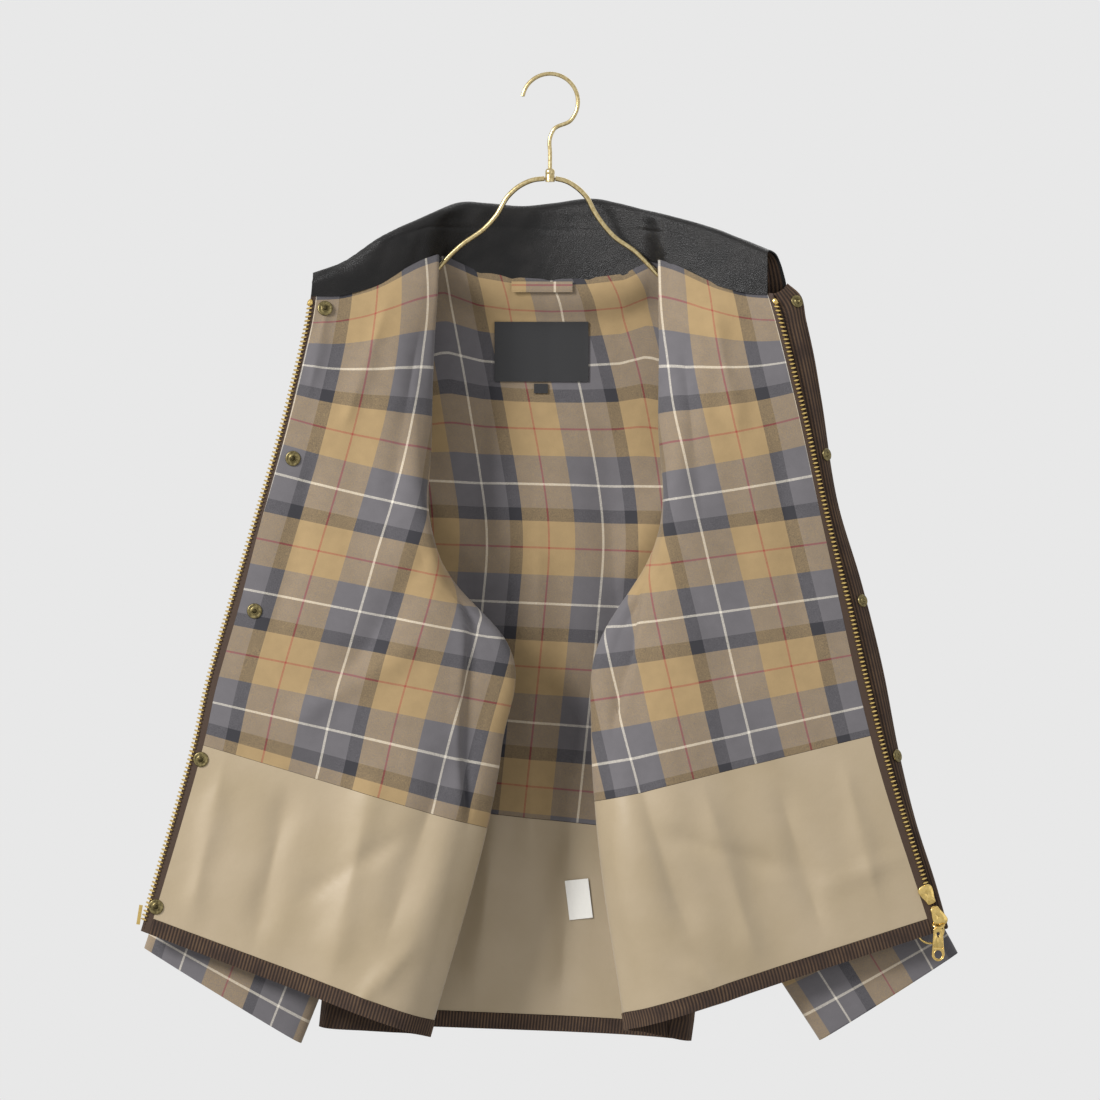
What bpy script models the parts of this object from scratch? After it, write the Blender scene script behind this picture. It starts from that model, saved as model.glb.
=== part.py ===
"""A corduroy jacket on a wire hanger, fronts opened wide and folded outward.

The frame is in metres with +Z up and the camera side at -Y. Tables and sizes are in millimetres.
The origin is the inner top of the hanger's hook. Left and right are the viewer's.
"""

import math
from typing import NamedTuple

import bmesh
import bpy
import numpy as np
from mathutils import Vector

MM = 0.001

# Cloth and seams
SHELL_WALL = 2.0
LINING_WALL = 1.0
HEM_WALL = 2.0
TAPE_WALL = 0.8
COLLAR_CLEARANCE = 1.0
FOLD_TOP = 105.0
LEATHER_WALL = 1.4
SEAM_GAP = 0.3
HALF_GAP = SEAM_GAP / 2
HEM_DEPTH = 15.0
# Rows of the front grids, and the height at the back, at which the check meets the nylon
LEFT_SEAM_ROW = 12.6
RIGHT_SEAM_ROW = 11.4
BACK_SEAM_Z = -692.0
# Rows left free at each side of a seam that runs across
ROW_GAP = 0.006
TAPE_SHOWS = 8.0
SHELL_INSET = 4.5

# Hanger
HOOK_WIRE = 3.8
HOOK_RADIUS = 26.0
ARM_WIRE = 4.7
FERRULE_RADIUS = 4.4
FERRULE_TOP = -86.4
FERRULE_BOTTOM = -98.6

# Fastenings
SNAP_RADIUS = 7.0
SNAP_HEIGHT = 2.2
TAB_LENGTH = 28.0
TAB_WIDTH = 12.0
TAB_THICK = 1.4
RING_RADIUS = 12.0
RING_WIRE = 1.8

# How finely each cloth is cut into flats
FRONT_ROWS = 17
PANEL_COLUMNS = 8
FOLD_COLUMNS = 8
BACK_ROWS = 17
BACK_COLUMNS = 18
SLEEVE_SIDES = 16
SLEEVE_RINGS = 15
COLLAR_COLUMNS = 34


class FrontRow(NamedTuple):
    """One row of a front's cloth, from the zip edge round the fold to the side edge."""

    down: float
    zip_x: float
    zip_y: float
    zip_z: float
    sag: float
    ridge_x: float
    ridge_y: float
    tip_x: float
    tip_z: float
    back_y: float
    side_x: float
    side_y: float
    side_z: float


class SleeveRing(NamedTuple):
    """One ring of a flattened sleeve, between its outer and inner edges."""

    outer_x: float
    outer_z: float
    inner_x: float
    inner_z: float
    centre_y: float
    half_thick: float


class CollarStation(NamedTuple):
    """One section of the collar: the neck seam, the rolled top and the edge of the fall behind."""

    seam_x: float
    seam_y: float
    seam_z: float
    top_x: float
    top_z: float
    fall_x: float
    fall_z: float
    depth: float


LEFT_FRONT = [
    FrontRow(0.00, -220, -45, -206, -10, -112, -13, -104, -167, -1.7, -206, -1.7, -226),
    FrontRow(0.02, -221, -46, -216, -8, -113, -19, -104, -180, -8.5, -205, -4.0, -234),
    FrontRow(0.16, -239, -51, -300, -3, -121, -42, -110, -322, -10, -190, -9.0, -312),
    FrontRow(0.40, -276, -54, -432, 0, -98, -53, -90, -470, -13, -172, -1.1, -440),
    FrontRow(0.48, -289, -55, -476, 0, -84, -55, -42, -524, -13, -176, -1.1, -492),
    FrontRow(0.64, -314, -57, -563, 0, -86, -55, -45, -620, -14, -187, -1.1, -610),
    FrontRow(0.78, -327, -59, -622, 0, -84, -55, -60, -703, -14, -196, -1.1, -703),
    FrontRow(1.00, -375, -61, -790, 0, -126, -52, -112, -890, -14, -213, -1.1, -884),
]

RIGHT_FRONT = [
    FrontRow(0.00, 205, -48, -205, -7, 110, -13, 101, -172, -1.7, 206, -1.7, -227),
    FrontRow(0.02, 208, -49, -215, -6, 111, -19, 101, -184, -8.5, 205, -4.0, -235),
    FrontRow(0.15, 228, -52, -293, -3, 111, -42, 101, -312, -10, 190, -9.0, -312),
    FrontRow(0.38, 259, -55, -430, 0, 99, -53, 91, -452, -13, 172, -1.1, -440),
    FrontRow(0.47, 274, -56, -490, 0, 88, -55, 48, -522, -13, 168, -1.1, -500),
    FrontRow(0.61, 291, -57, -564, 0, 66, -55, 39, -616, -14, 160, -1.1, -615),
    FrontRow(0.71, 305, -59, -620, 0, 56, -55, 43, -686, -14, 153, -1.1, -690),
    FrontRow(1.00, 358, -61, -790, 0, 88, -52, 70, -884, -14, 130, -1.1, -897),
]

LEFT_SLEEVE = [
    SleeveRing(-209, -229, -175, -436, 0, 9),
    SleeveRing(-217, -256, -186, -450, -18, 10),
    SleeveRing(-225, -292, -170, -486, -29, 10),
    SleeveRing(-244, -374, -138, -540, -31, 10),
    SleeveRing(-265, -455, -121, -590, -31, 10),
    SleeveRing(-295, -556, -140, -652, -31, 10),
    SleeveRing(-323, -649, -164, -718, -31, 10),
    SleeveRing(-348, -735, -190, -790, -31, 10),
    SleeveRing(-372, -809, -232, -895, -31, 11),
]

RIGHT_SLEEVE = [
    SleeveRing(209, -229, 175, -436, 0, 9),
    SleeveRing(217, -256, 186, -450, -18, 10),
    SleeveRing(226, -292, 172, -486, -29, 10),
    SleeveRing(246, -374, 144, -540, -31, 10),
    SleeveRing(265, -455, 130, -590, -31, 10),
    SleeveRing(288, -556, 140, -652, -31, 10),
    SleeveRing(309, -649, 156, -718, -31, 10),
    SleeveRing(333, -735, 186, -790, -30, 10),
    SleeveRing(374, -814, 251, -892, -30, 11),
]

COLLAR = [
    CollarStation(-220, -45, -205, -218, -187, -218, -238, 13.5),
    CollarStation(-193, -39, -205.5, -188, -175, -188, -240, 13.5),
    CollarStation(-170, -34, -199.5, -158, -154, -158, -226, 13.5),
    CollarStation(-129, -20, -181, -118, -134, -118, -171, 13.5),
    CollarStation(-112, -11, -168, -100, -125, -100, -156, 13.5),
    CollarStation(-100, 5, -165, -88, -119, -88, -154, 13.5),
    CollarStation(-68, 17, -179.5, -58, -118, -58, -168, 13.5),
    CollarStation(-36, 25, -185, -28, -120, -28, -174, 13.5),
    CollarStation(0, 28, -187, 4, -117, 4, -176, 13.5),
    CollarStation(36, 25, -186, 38, -113, 38, -174, 13.5),
    CollarStation(70, 17, -182, 64, -118, 64, -170, 13.5),
    CollarStation(94, 5, -170, 88, -125, 88, -158, 13.5),
    CollarStation(108, -11, -173, 104, -130, 104, -160, 13.5),
    CollarStation(128, -20, -184, 128, -137, 128, -174, 13.5),
    CollarStation(160, -35, -197, 160, -148, 161, -222, 14.5),
    CollarStation(200, -47.5, -201.5, 200, -166, 219, -222, 18),
]

# The two arms' wires, as (x, z), from the ferrule outward under the shoulders
ARM_LEFT = [(-6, -96), (-16, -97), (-29, -103), (-39, -112), (-50, -130), (-61, -142), (-82, -157),
            (-94, -168), (-103, -178), (-114, -187), (-127, -195), (-195, -237)]
ARM_RIGHT = [(4, -96), (15, -98), (25, -104), (34, -113), (41, -126), (50, -139), (59, -149), (80, -164),
             (92, -176), (102, -186), (114, -194), (127, -201), (193, -238)]

COLOURS = {
    "corduroy": ((0.035, 0.017, 0.008), 0.9, 0.0),
    "check": ((0.33, 0.22, 0.11), 0.85, 0.0),
    "nylon": ((0.42, 0.33, 0.2), 0.5, 0.0),
    "leather": ((0.012, 0.011, 0.011), 0.4, 0.0),
    "brass": ((0.7, 0.5, 0.2), 0.25, 1.0),
    "antique": ((0.2, 0.17, 0.09), 0.4, 1.0),
    "wire": ((0.6, 0.52, 0.36), 0.22, 1.0),
    "tape": ((0.03, 0.015, 0.008), 0.9, 0.0),
    "label": ((0.01, 0.01, 0.012), 0.6, 0.0),
    "care": ((0.8, 0.8, 0.78), 0.6, 0.0),
}


# ---------- curves and grids ----------

def cubic(keys, values, at):
    """Smooth curve through the values at the keys, by Hermite cubics with averaged slopes."""
    keys = np.asarray(keys, float)
    values = np.asarray(values, float)
    slopes = np.gradient(values, keys, axis=0)
    index = np.clip(np.searchsorted(keys, at, side="right") - 1, 0, len(keys) - 2)
    width = keys[index + 1] - keys[index]
    t = ((at - keys[index]) / width)[:, None]
    width = width[:, None]
    start = values[index] * (2 * t**3 - 3 * t**2 + 1) + slopes[index] * width * (t**3 - 2 * t**2 + t)
    end = values[index + 1] * (3 * t**2 - 2 * t**3) + slopes[index + 1] * width * (t**3 - t**2)
    return start + end


def lengths(points):
    """Running length along a row of points."""
    steps = np.linalg.norm(np.diff(points, axis=0), axis=1)
    return np.concatenate([[0.0], np.cumsum(steps)])


def through(points, count):
    """Evenly spaced points on the smooth curve through the given ones."""
    points = np.asarray(points, float)
    keys = lengths(points)
    fine = cubic(keys, points, np.linspace(0, keys[-1], 12 * len(points)))
    run = lengths(fine)
    at = np.linspace(0, run[-1], count)
    return np.stack([np.interp(at, run, fine[:, axis]) for axis in range(3)], axis=1)


def normals_of(grid, side, closed=False):
    """Unit normals of a grid, towards its lining where side is 1."""
    if closed:
        across = np.roll(grid, -1, axis=1) - np.roll(grid, 1, axis=1)
    else:
        across = np.gradient(grid, axis=1)
    down = np.gradient(grid, axis=0)
    normal = np.cross(down, across) * side
    return normal / np.linalg.norm(normal, axis=2, keepdims=True)


def part_of(grid, normal, rows, columns):
    """The stretch of a grid between two fractional rows and two fractional columns."""
    def cut(array, low, high):
        last = array.shape[0] - 1
        inner = np.arange(math.floor(low) + 1, math.ceil(high))
        at = np.concatenate([[low], inner, [high]])
        base = np.clip(np.floor(at).astype(int), 0, last - 1)
        share = (at - base)[:, None, None]
        return array[base] * (1 - share) + array[base + 1] * share

    def both(array):
        down = cut(array, *rows)
        return cut(down.transpose(1, 0, 2), *columns).transpose(1, 0, 2)

    return both(grid), both(normal)


def wall_faces(rows, columns, closed):
    """Faces of a wall between two grids of the same size, the second one after the first."""
    count = rows * columns
    last = columns if closed else columns - 1
    r, c = np.meshgrid(np.arange(rows - 1), np.arange(last), indexing="ij")
    after = (c + 1) % columns
    a, b = r * columns + c, r * columns + after
    d, e = a + columns, b + columns
    front = np.stack([a, d, e, a, e, b], axis=-1).reshape(-1, 3)
    faces = [front, front[:, ::-1] + count]
    rims = [(np.arange(last), (np.arange(last) + 1) % columns)]
    rims.append((rims[0][1] + (rows - 1) * columns, rims[0][0] + (rows - 1) * columns))
    if not closed:
        side = np.arange(rows - 1) * columns
        rims.append((side + columns, side))
        rims.append((side + columns - 1, side + 2 * columns - 1))
    for start, end in rims:
        rim = np.stack([start, end, end + count, start, end + count, start + count], axis=-1)
        faces.append(rim.reshape(-1, 3))
    return np.concatenate(faces)


def add_object(name, points, faces, colour):
    """A closed mesh with its faces outward, in metres, with its own material."""
    mesh = bpy.data.meshes.new(name)
    mesh.from_pydata((np.asarray(points) * MM).tolist(), [], [tuple(face) for face in faces])
    mesh.validate()
    shape = bmesh_outward(mesh)
    tint, rough, metal = COLOURS[colour]
    material = bpy.data.materials.new(name)
    material.use_nodes = True
    shader = material.node_tree.nodes["Principled BSDF"]
    shader.inputs["Base Color"].default_value = (*tint, 1.0)
    shader.inputs["Roughness"].default_value = rough
    shader.inputs["Metallic"].default_value = metal
    shape.materials.append(material)
    made = bpy.data.objects.new(name, shape)
    bpy.context.scene.collection.objects.link(made)
    return made


def bmesh_outward(mesh):
    """The mesh split into triangles, turned so that its volume is positive."""
    work = bmesh.new()
    work.from_mesh(mesh)
    bmesh.ops.triangulate(work, faces=work.faces[:])
    if work.calc_volume(signed=True) < 0:
        bmesh.ops.reverse_faces(work, faces=work.faces[:])
    work.to_mesh(mesh)
    work.free()
    return mesh


def add_wall(name, grid, normal, low, high, colour, closed=False):
    """A wall between two distances from a grid's mid-surface, along its normals."""
    rows, columns = grid.shape[:2]
    low = np.asarray(low, float)
    high = np.asarray(high, float)
    inner = (grid + normal * low[..., None]).reshape(-1, 3)
    outer = (grid + normal * high[..., None]).reshape(-1, 3)
    faces = wall_faces(rows, columns, closed)
    return add_object(name, np.concatenate([inner, outer]), faces, colour)


def add_ring_wall(name, sections, colour):
    """A solid of closed sections, capped at both ends."""
    sections = np.asarray(sections, float)
    rows, columns = sections.shape[:2]
    r, c = np.meshgrid(np.arange(rows - 1), np.arange(columns), indexing="ij")
    a, b = r * columns + c, r * columns + (c + 1) % columns
    faces = np.stack([a, a + columns, b + columns, b], axis=-1).reshape(-1, 4).tolist()
    faces.append(list(range(columns)))
    faces.append(list(range(rows * columns - 1, (rows - 1) * columns - 1, -1)))
    return add_object(name, sections.reshape(-1, 3), faces, colour)


def add_tube(name, path, radius, sides, colour):
    """A round wire along a path that lies near the XZ plane."""
    path = np.asarray(path, float)
    along = np.gradient(path, axis=0)
    along /= np.linalg.norm(along, axis=1, keepdims=True)
    toward = np.array([0.0, 1.0, 0.0])
    across = np.cross(along, toward)
    across /= np.linalg.norm(across, axis=1, keepdims=True)
    up = np.cross(across, along)
    turn = np.linspace(0, 2 * np.pi, sides, endpoint=False)
    ring = across[:, None] * np.cos(turn)[None, :, None] + up[:, None] * np.sin(turn)[None, :, None]
    return add_ring_wall(name, path[:, None] + ring * radius, colour)


# ---------- the fronts ----------

def front_section(row, sign):
    """Points of one row: zip, ridge of the fold, its tip, and the return to the side edge."""
    half = (row.zip_x + row.ridge_x) / 2
    quarter = (row.zip_x * 3 + row.ridge_x) / 4
    zips, end = row.zip_z, row.tip_z
    reach = abs(row.zip_x - row.tip_x)
    fall = lambda x: zips + (end - zips) * abs(row.zip_x - x) / reach
    mid_y = (row.zip_y + row.ridge_y) / 2
    depth = (row.back_y - row.ridge_y) / 2
    back_x = row.tip_x + sign * depth
    after_x = back_x + sign * (depth + 2)
    middle_x = (back_x + row.side_x) / 2
    near_x = row.side_x - sign * 5
    side = lambda x: end + (row.side_z - end) * (x - row.tip_x) / (row.side_x - row.tip_x)
    return np.array([
        (row.zip_x, row.zip_y, zips),
        (quarter, row.zip_y * 0.7 + row.ridge_y * 0.3 - 2, fall(quarter) + row.sag * 0.8),
        (half, mid_y - 3, fall(half) + row.sag),
        (row.ridge_x, row.ridge_y, fall(row.ridge_x)),
        (row.tip_x, (row.ridge_y + row.back_y) / 2, end),
        (back_x, row.back_y, side(back_x)),
        (after_x, row.back_y, side(after_x)),
        (middle_x, row.back_y, side(middle_x)),
        (near_x, row.back_y * 0.75 + row.side_y * 0.25, side(near_x)),
        (row.side_x, row.side_y, row.side_z),
    ])


def front_grid(table):
    """Grid of a front's mid-surface, with its zip edge, tape and shell lines as the first columns."""
    sign = 1 if table[0].zip_x > 0 else -1
    sections = np.array([front_section(row, sign) for row in table])
    downs = [row.down for row in table]
    at = np.concatenate([[0, 0.02], np.linspace(0.06, 1, FRONT_ROWS - 2)])
    keyed = cubic(downs, sections.reshape(len(table), -1), at).reshape(len(at), -1, 3)
    grid = []
    for points in keyed:
        keys = lengths(points)
        panel = np.linspace(TAPE_SHOWS, keys[3], PANEL_COLUMNS)
        fold = np.linspace(keys[3], keys[6], FOLD_COLUMNS)[1:]
        behind = np.linspace(keys[6], keys[8], 4)[1:]
        marks = np.concatenate([[0, SHELL_INSET], panel, fold, behind, np.linspace(keys[8], keys[9], 3)[1:]])
        grid.append(cubic(keys, points, marks))
    return np.array(grid), sign


def rows_at(grid, column, distance):
    """Fractional row that lies a distance up from the hem in one column."""
    run = lengths(grid[:, column])
    return float(np.interp(run[-1] - distance, run, np.arange(len(run))))


def make_front(side, table, seam_row):
    """Shell, two linings, hem facing and zip tape of one front. Returns its grid and lining normals."""
    grid, sign = front_grid(table)
    normal = normals_of(grid, -sign)
    last_row, last_column = grid.shape[0] - 1, grid.shape[1] - 1
    hem_row = rows_at(grid, 8, HEM_DEPTH)

    def layer(name, rows, columns, low, high, colour):
        piece, lean = part_of(grid, normal, rows, columns)
        add_wall(name, piece, lean, low, high, colour)

    whole = (0, last_row)
    layer(f"shell_{side}_front", whole, (1, last_column), -HALF_GAP - SHELL_WALL, -HALF_GAP, "corduroy")
    inside = (2 + ROW_GAP, last_column)
    top = (0, seam_row - ROW_GAP)
    layer(f"check_lining_{side}", top, inside, HALF_GAP, HALF_GAP + LINING_WALL, "check")
    middle = (seam_row + ROW_GAP, hem_row - ROW_GAP)
    layer(f"nylon_lining_{side}", middle, inside, HALF_GAP, HALF_GAP + LINING_WALL, "nylon")
    bottom = (hem_row + ROW_GAP, last_row)
    layer(f"hem_{side}", bottom, (2 + ROW_GAP, last_column - 0.6), HALF_GAP, HALF_GAP + HEM_WALL, "corduroy")
    layer(f"zip_tape_{side}", whole, (0, 2 - ROW_GAP * 5), HALF_GAP, HALF_GAP + TAPE_WALL, "tape")
    return grid, normal


# ---------- the back ----------

def back_grid():
    """Grid of the back's mid-surface: straight rows between the side edges, under the neck and shoulders."""
    across = np.linspace(0, 1, BACK_COLUMNS)
    neck = np.array([(s.seam_x, 0, s.seam_z - 1.0) for s in COLLAR if -105 < s.seam_x < 104], float)
    left_end = [(-206, 1.1, -226), (-108, 1.7, -167)]
    right_end = [(101, 1.7, -172), (206, 1.1, -227)]
    tops = np.concatenate([left_end, neck, right_end])
    top_x = -206 + 412 * across
    top_z = np.interp(top_x, tops[:, 0], tops[:, 2])
    seam_y = np.interp(top_x, [s.seam_x for s in COLLAR], [max(s.seam_y, 1.7) for s in COLLAR])
    downs = np.concatenate([[0, 0.02], np.linspace(0.07, 1, BACK_ROWS - 2)])
    sides = {}
    for label, table in (("left", LEFT_FRONT), ("right", RIGHT_FRONT)):
        keys = [row.down for row in table]
        sides[label] = cubic(keys, [(row.side_x, -row.side_y, row.side_z) for row in table], downs)
    grid = []
    for index, down in enumerate(downs):
        left, right = sides["left"][index], sides["right"][index]
        x = left[0] + (right[0] - left[0]) * across
        straight = left[2] + (right[2] - left[2]) * across
        fade = max(0.0, 1 - down / 0.3) ** 1.5
        z = straight + (top_z - (-226 - across)) * fade
        edge = left[1] + (right[1] - left[1]) * across
        hollow = (1 - (2 * across - 1) ** 4) * min(1.0, 0.25 + down * 12)
        deep = edge + (24 + 12 * down) * hollow
        blend = min(1.0, down / 0.05)
        y = seam_y * (1 - blend) + deep * blend
        y = y + (seam_y - 1.7) * blend * max(0.0, 1 - down * 2) * 0.3
        grid.append(np.stack([x, y, z], axis=1))
    return np.array(grid)


def make_back(seam_z):
    """Shell, linings and hem facing of the back."""
    grid = back_grid()
    normal = normals_of(grid, 1)
    last_row, last_column = grid.shape[0] - 1, grid.shape[1] - 1
    middle = last_column // 2
    seam_row = float(np.interp(-seam_z, -grid[:, middle, 2], np.arange(last_row + 1)))
    hem_row = rows_at(grid, middle, HEM_DEPTH)
    lined = (seam_row + ROW_GAP, hem_row - ROW_GAP)
    bands = [
        ("shell_back", (0, last_row), -HALF_GAP - SHELL_WALL, -HALF_GAP, "corduroy"),
        ("check_lining_back", (0, seam_row - ROW_GAP), HALF_GAP, HALF_GAP + LINING_WALL, "check"),
        ("nylon_lining_back", lined, HALF_GAP, HALF_GAP + LINING_WALL, "nylon"),
        ("hem_back", (hem_row + ROW_GAP, last_row), HALF_GAP, HALF_GAP + HEM_WALL, "corduroy"),
    ]
    for name, rows, low, high, colour in bands:
        inset = 0.2 if name == "hem_back" else 0
        piece, lean = part_of(grid, normal, rows, (inset, last_column - inset))
        add_wall(name, piece, lean, low, high, colour)
    return grid


# ---------- sleeves and cuffs ----------

def sleeve_grid(table):
    """Rings of a flattened tube: each ring is a rounded flat loop between its outer and inner edges."""
    keys = np.arange(len(table))
    rings = cubic(keys, table, np.linspace(0, len(table) - 1, SLEEVE_RINGS))
    turn = np.linspace(0, 2 * np.pi, SLEEVE_SIDES, endpoint=False)
    wide, thick = np.cos(turn), np.sign(np.sin(turn)) * np.abs(np.sin(turn)) ** 0.8
    outer, inner = rings[:, 0:2], rings[:, 2:4]
    centre, reach = (outer + inner) / 2, (outer - inner) / 2
    flat = centre[:, None] + reach[:, None] * wide[None, :, None]
    depth = rings[:, 4, None] + rings[:, 5, None] * thick[None]
    return np.stack([flat[..., 0], depth, flat[..., 1]], axis=-1)


def make_sleeve(side, table):
    """Sleeve tube, and the cuff turned back round its end with the lining outward."""
    grid = sleeve_grid(table)
    normal = normals_of(grid, 1, closed=True)
    centre = grid.mean(axis=1, keepdims=True)
    if ((grid - centre) * normal).sum() < 0:
        normal = -normal
    add_wall(f"sleeve_{side}", grid, normal, -1.0, 1.0, "corduroy", closed=True)
    start = SLEEVE_RINGS - 3.2
    share = start - math.floor(start)
    first = math.floor(start)
    rows = [grid[first] * (1 - share) + grid[first + 1] * share]
    lean = [normal[first] * (1 - share) + normal[first + 1] * share]
    rows += list(grid[first + 1:])
    lean += list(normal[first + 1:])
    add_wall(f"cuff_{side}", np.array(rows), np.array(lean), 1.3, 2.7, "check", closed=True)
    return grid


# ---------- collar ----------

def neck_height(x, tops):
    """The highest edge of the panels under the collar at a place across."""
    heights = []
    for edge in tops:
        low, high = edge[:-1], edge[1:]
        spans = (np.minimum(low[:, 0], high[:, 0]) <= x) & (np.maximum(low[:, 0], high[:, 0]) >= x)
        low, high = low[spans], high[spans]
        share = (x - low[:, 0]) / (high[:, 0] - low[:, 0] + 1e-9)
        heights += list(low[:, 2] + (high[:, 2] - low[:, 2]) * share)
    return max(heights, default=-1e9)


def collar_sections(tops):
    """Grid of the collar's fold: up the inner face from the neck seam, over the roll, down the fall."""
    keys = [station.seam_x for station in COLLAR]
    at = np.linspace(keys[0], keys[-1], COLLAR_COLUMNS)
    rows = []
    for x, y, z, top_x, top_z, fall_x, fall_z, depth in cubic(keys, COLLAR, at):
        height = neck_height(x, tops)
        at_fold = math.exp(-(((abs(x) - FOLD_TOP) / 14) ** 2))
        z = height + COLLAR_CLEARANCE + 3.6 * at_fold if height > -300 else z
        rise = top_z - z
        drop = top_z - fall_z
        out = fall_x - top_x
        rows.append([
            (x, y, z),
            (x + (top_x - x) * 0.35, y - 1, z + rise * 0.35),
            (x + (top_x - x) * 0.7, y - 0.5, z + rise * 0.72),
            (top_x, y + 2, top_z - 2.5),
            (top_x + out * 0.1, y + depth * 0.48, top_z),
            (top_x + out * 0.4, y + depth * 0.81, top_z - 2.5),
            (top_x + out * 0.9, y + depth * 0.96, top_z - max(drop * 0.45, 4.5)),
            (fall_x, y + depth, fall_z),
        ])
    return np.array(rows).transpose(1, 0, 2)


def make_collar(tops):
    """Leather collar and the corduroy under-collar inside its fold."""
    grid = collar_sections(tops)
    normal = normals_of(grid, 1)
    if normal[0, :, 1].mean() > 0:
        normal = -normal
    add_wall("collar_leather", grid, normal, HALF_GAP, HALF_GAP + LEATHER_WALL, "leather")
    last = COLLAR_COLUMNS - 1
    piece, lean = part_of(grid, normal, (0, 6.94), (0.15, last - 0.15))
    add_wall("under_collar", piece, lean, -HALF_GAP - 1.4, -HALF_GAP, "corduroy")
    return grid, normal


# ---------- storm flap ----------

FLAP_EDGE = [(219, -195), (231, -206), (236, -228), (243, -260), (250, -301), (266, -401), (286, -468),
             (306, -548), (322, -631), (337, -692), (354, -745), (366, -787)]
FLAP_LIFT = 4.5


def make_flap(grid, normal):
    """Flap behind the right zip: sewn to the shell, then bent backward past the teeth."""
    rows = grid.shape[0]
    edge = np.array(FLAP_EDGE, float)
    run = np.linalg.norm(np.diff(edge, axis=0), axis=1)
    keys = np.concatenate([[0], np.cumsum(run)])
    down = lengths(grid[:, 0]) / lengths(grid[:, 0])[-1]
    outer = cubic(keys, edge, down * keys[-1])
    lift = 2.45 + FLAP_LIFT * np.clip((down - 0.82) / 0.1, 0, 1)
    sewn = grid[:, 3] - normal[:, 3] * lift[:, None]
    near = grid[:, 2] - normal[:, 2] * lift[:, None]
    teeth = grid[:, 0] - normal[:, 0] * (lift[:, None] + 0.3)
    tip = np.stack([outer[:, 0], grid[:, 0, 1] + 12 + np.zeros(rows), outer[:, 1]], axis=1)
    middle = (teeth + tip) / 2
    middle[:, 0] += 3.0
    middle[:, 1] -= 1.5
    flap = np.stack([sewn, near, teeth, middle, tip], axis=1)
    lean = normals_of(flap, 1)
    if lean[:, :, 1].mean() < 0:
        lean = -lean
    add_wall("storm_flap", flap, lean, 0, SHELL_WALL, "corduroy")
    return flap, lean


# ---------- hanger ----------

def make_hanger():
    """Hook, ferrule and the two arms of bent wire."""
    ring = HOOK_RADIUS
    centre_z = -HOOK_RADIUS
    turn = np.radians(np.linspace(168, -52, 22))
    arc = [(ring * math.cos(a), 0, centre_z + HOOK_WIRE / 2 + ring * math.sin(a)) for a in turn]
    arc += [(3.5, 0, -50), (0, 0, -58), (0, 0, -72), (0, 0, FERRULE_TOP + 0.3)]
    add_tube("hanger_hook", arc, HOOK_WIRE / 2, 8, "wire")
    turn = np.linspace(0, 2 * np.pi, 14, endpoint=False)
    loops = [(FERRULE_TOP, 3.2), (FERRULE_TOP - 2, FERRULE_RADIUS), (FERRULE_BOTTOM, FERRULE_RADIUS)]
    add_ring_wall("hanger_ferrule", [[(r * math.cos(a), r * math.sin(a), z) for a in turn] for z, r in loops],
                  "wire")
    for side, route in (("left", ARM_LEFT), ("right", ARM_RIGHT)):
        shift = -5.2 if side == "left" else 5.2
        route = [(shift, 0, -95.5)] + [(x, 0, z) for x, z in route[1:]]
        add_tube(f"hanger_arm_{side}", through(route, 26), ARM_WIRE / 2, 8, "wire")


# ---------- small pieces on a panel ----------

def on_grid(grid, normal, x, z):
    """Point and normal of a panel's front face nearest to a place in the picture plane."""
    flat = grid[:, :14]
    far = np.hypot(flat[..., 0] - x, flat[..., 2] - z)
    row, column = np.unravel_index(np.argmin(far), far.shape)
    weight = 1 / (far + 4.0) ** 4
    weight[np.abs(np.arange(far.shape[0])[:, None] - row) + np.abs(np.arange(14)[None] - column) > 2] = 0
    depth = (flat[..., 1] * weight).sum() / weight.sum()
    lean = (normal[:, :14] * weight[..., None]).sum(axis=(0, 1))
    return np.array([x, depth, z]), lean / np.linalg.norm(lean)


def disc(name, base, lean, low, outline, colour):
    """A turned button: circles of a profile (height, radius) above a point along a normal."""
    lean = Vector(lean)
    across = lean.orthogonal().normalized()
    other = lean.cross(across)
    turn = np.linspace(0, 2 * np.pi, 12, endpoint=False)
    sections = []
    for height, radius in outline:
        spot = Vector(base) + lean * (low + height)
        sections.append([spot + (across * math.cos(a) + other * math.sin(a)) * radius for a in turn])
    return add_ring_wall(name, sections, colour)


STUDS = [(-207, -219), (-236, -357), (-271, -497), (-320, -633), (-361, -768)]
SOCKETS = [(224, -213), (246, -352), (286, -489), (312, -630)]


def make_snaps(grid, normal, flap, flap_lean):
    """Studs on the left front's lining and sockets on the flap's face."""
    crown = [(0, SNAP_RADIUS), (1.2, SNAP_RADIUS), (1.6, 5.2), (SNAP_HEIGHT, 3.0)]
    for index, (x, z) in enumerate(STUDS, 1):
        base, lean = on_grid(grid, normal, x, z)
        disc(f"snap_stud_{index}", base, lean, 2.2, crown, "antique")
    for index, (x, z) in enumerate(SOCKETS, 1):
        row = int(np.argmin(np.abs(flap[:, 3, 2] - z)))
        base = (flap[row, 3] + flap[row, 4]) / 2
        lean = -(flap_lean[row, 3] + flap_lean[row, 4]) / 2
        lean = lean / np.linalg.norm(lean)
        disc(f"snap_socket_{index}", base, lean, 1.0, [(h, r * 0.86) for h, r in crown], "antique")


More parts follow.
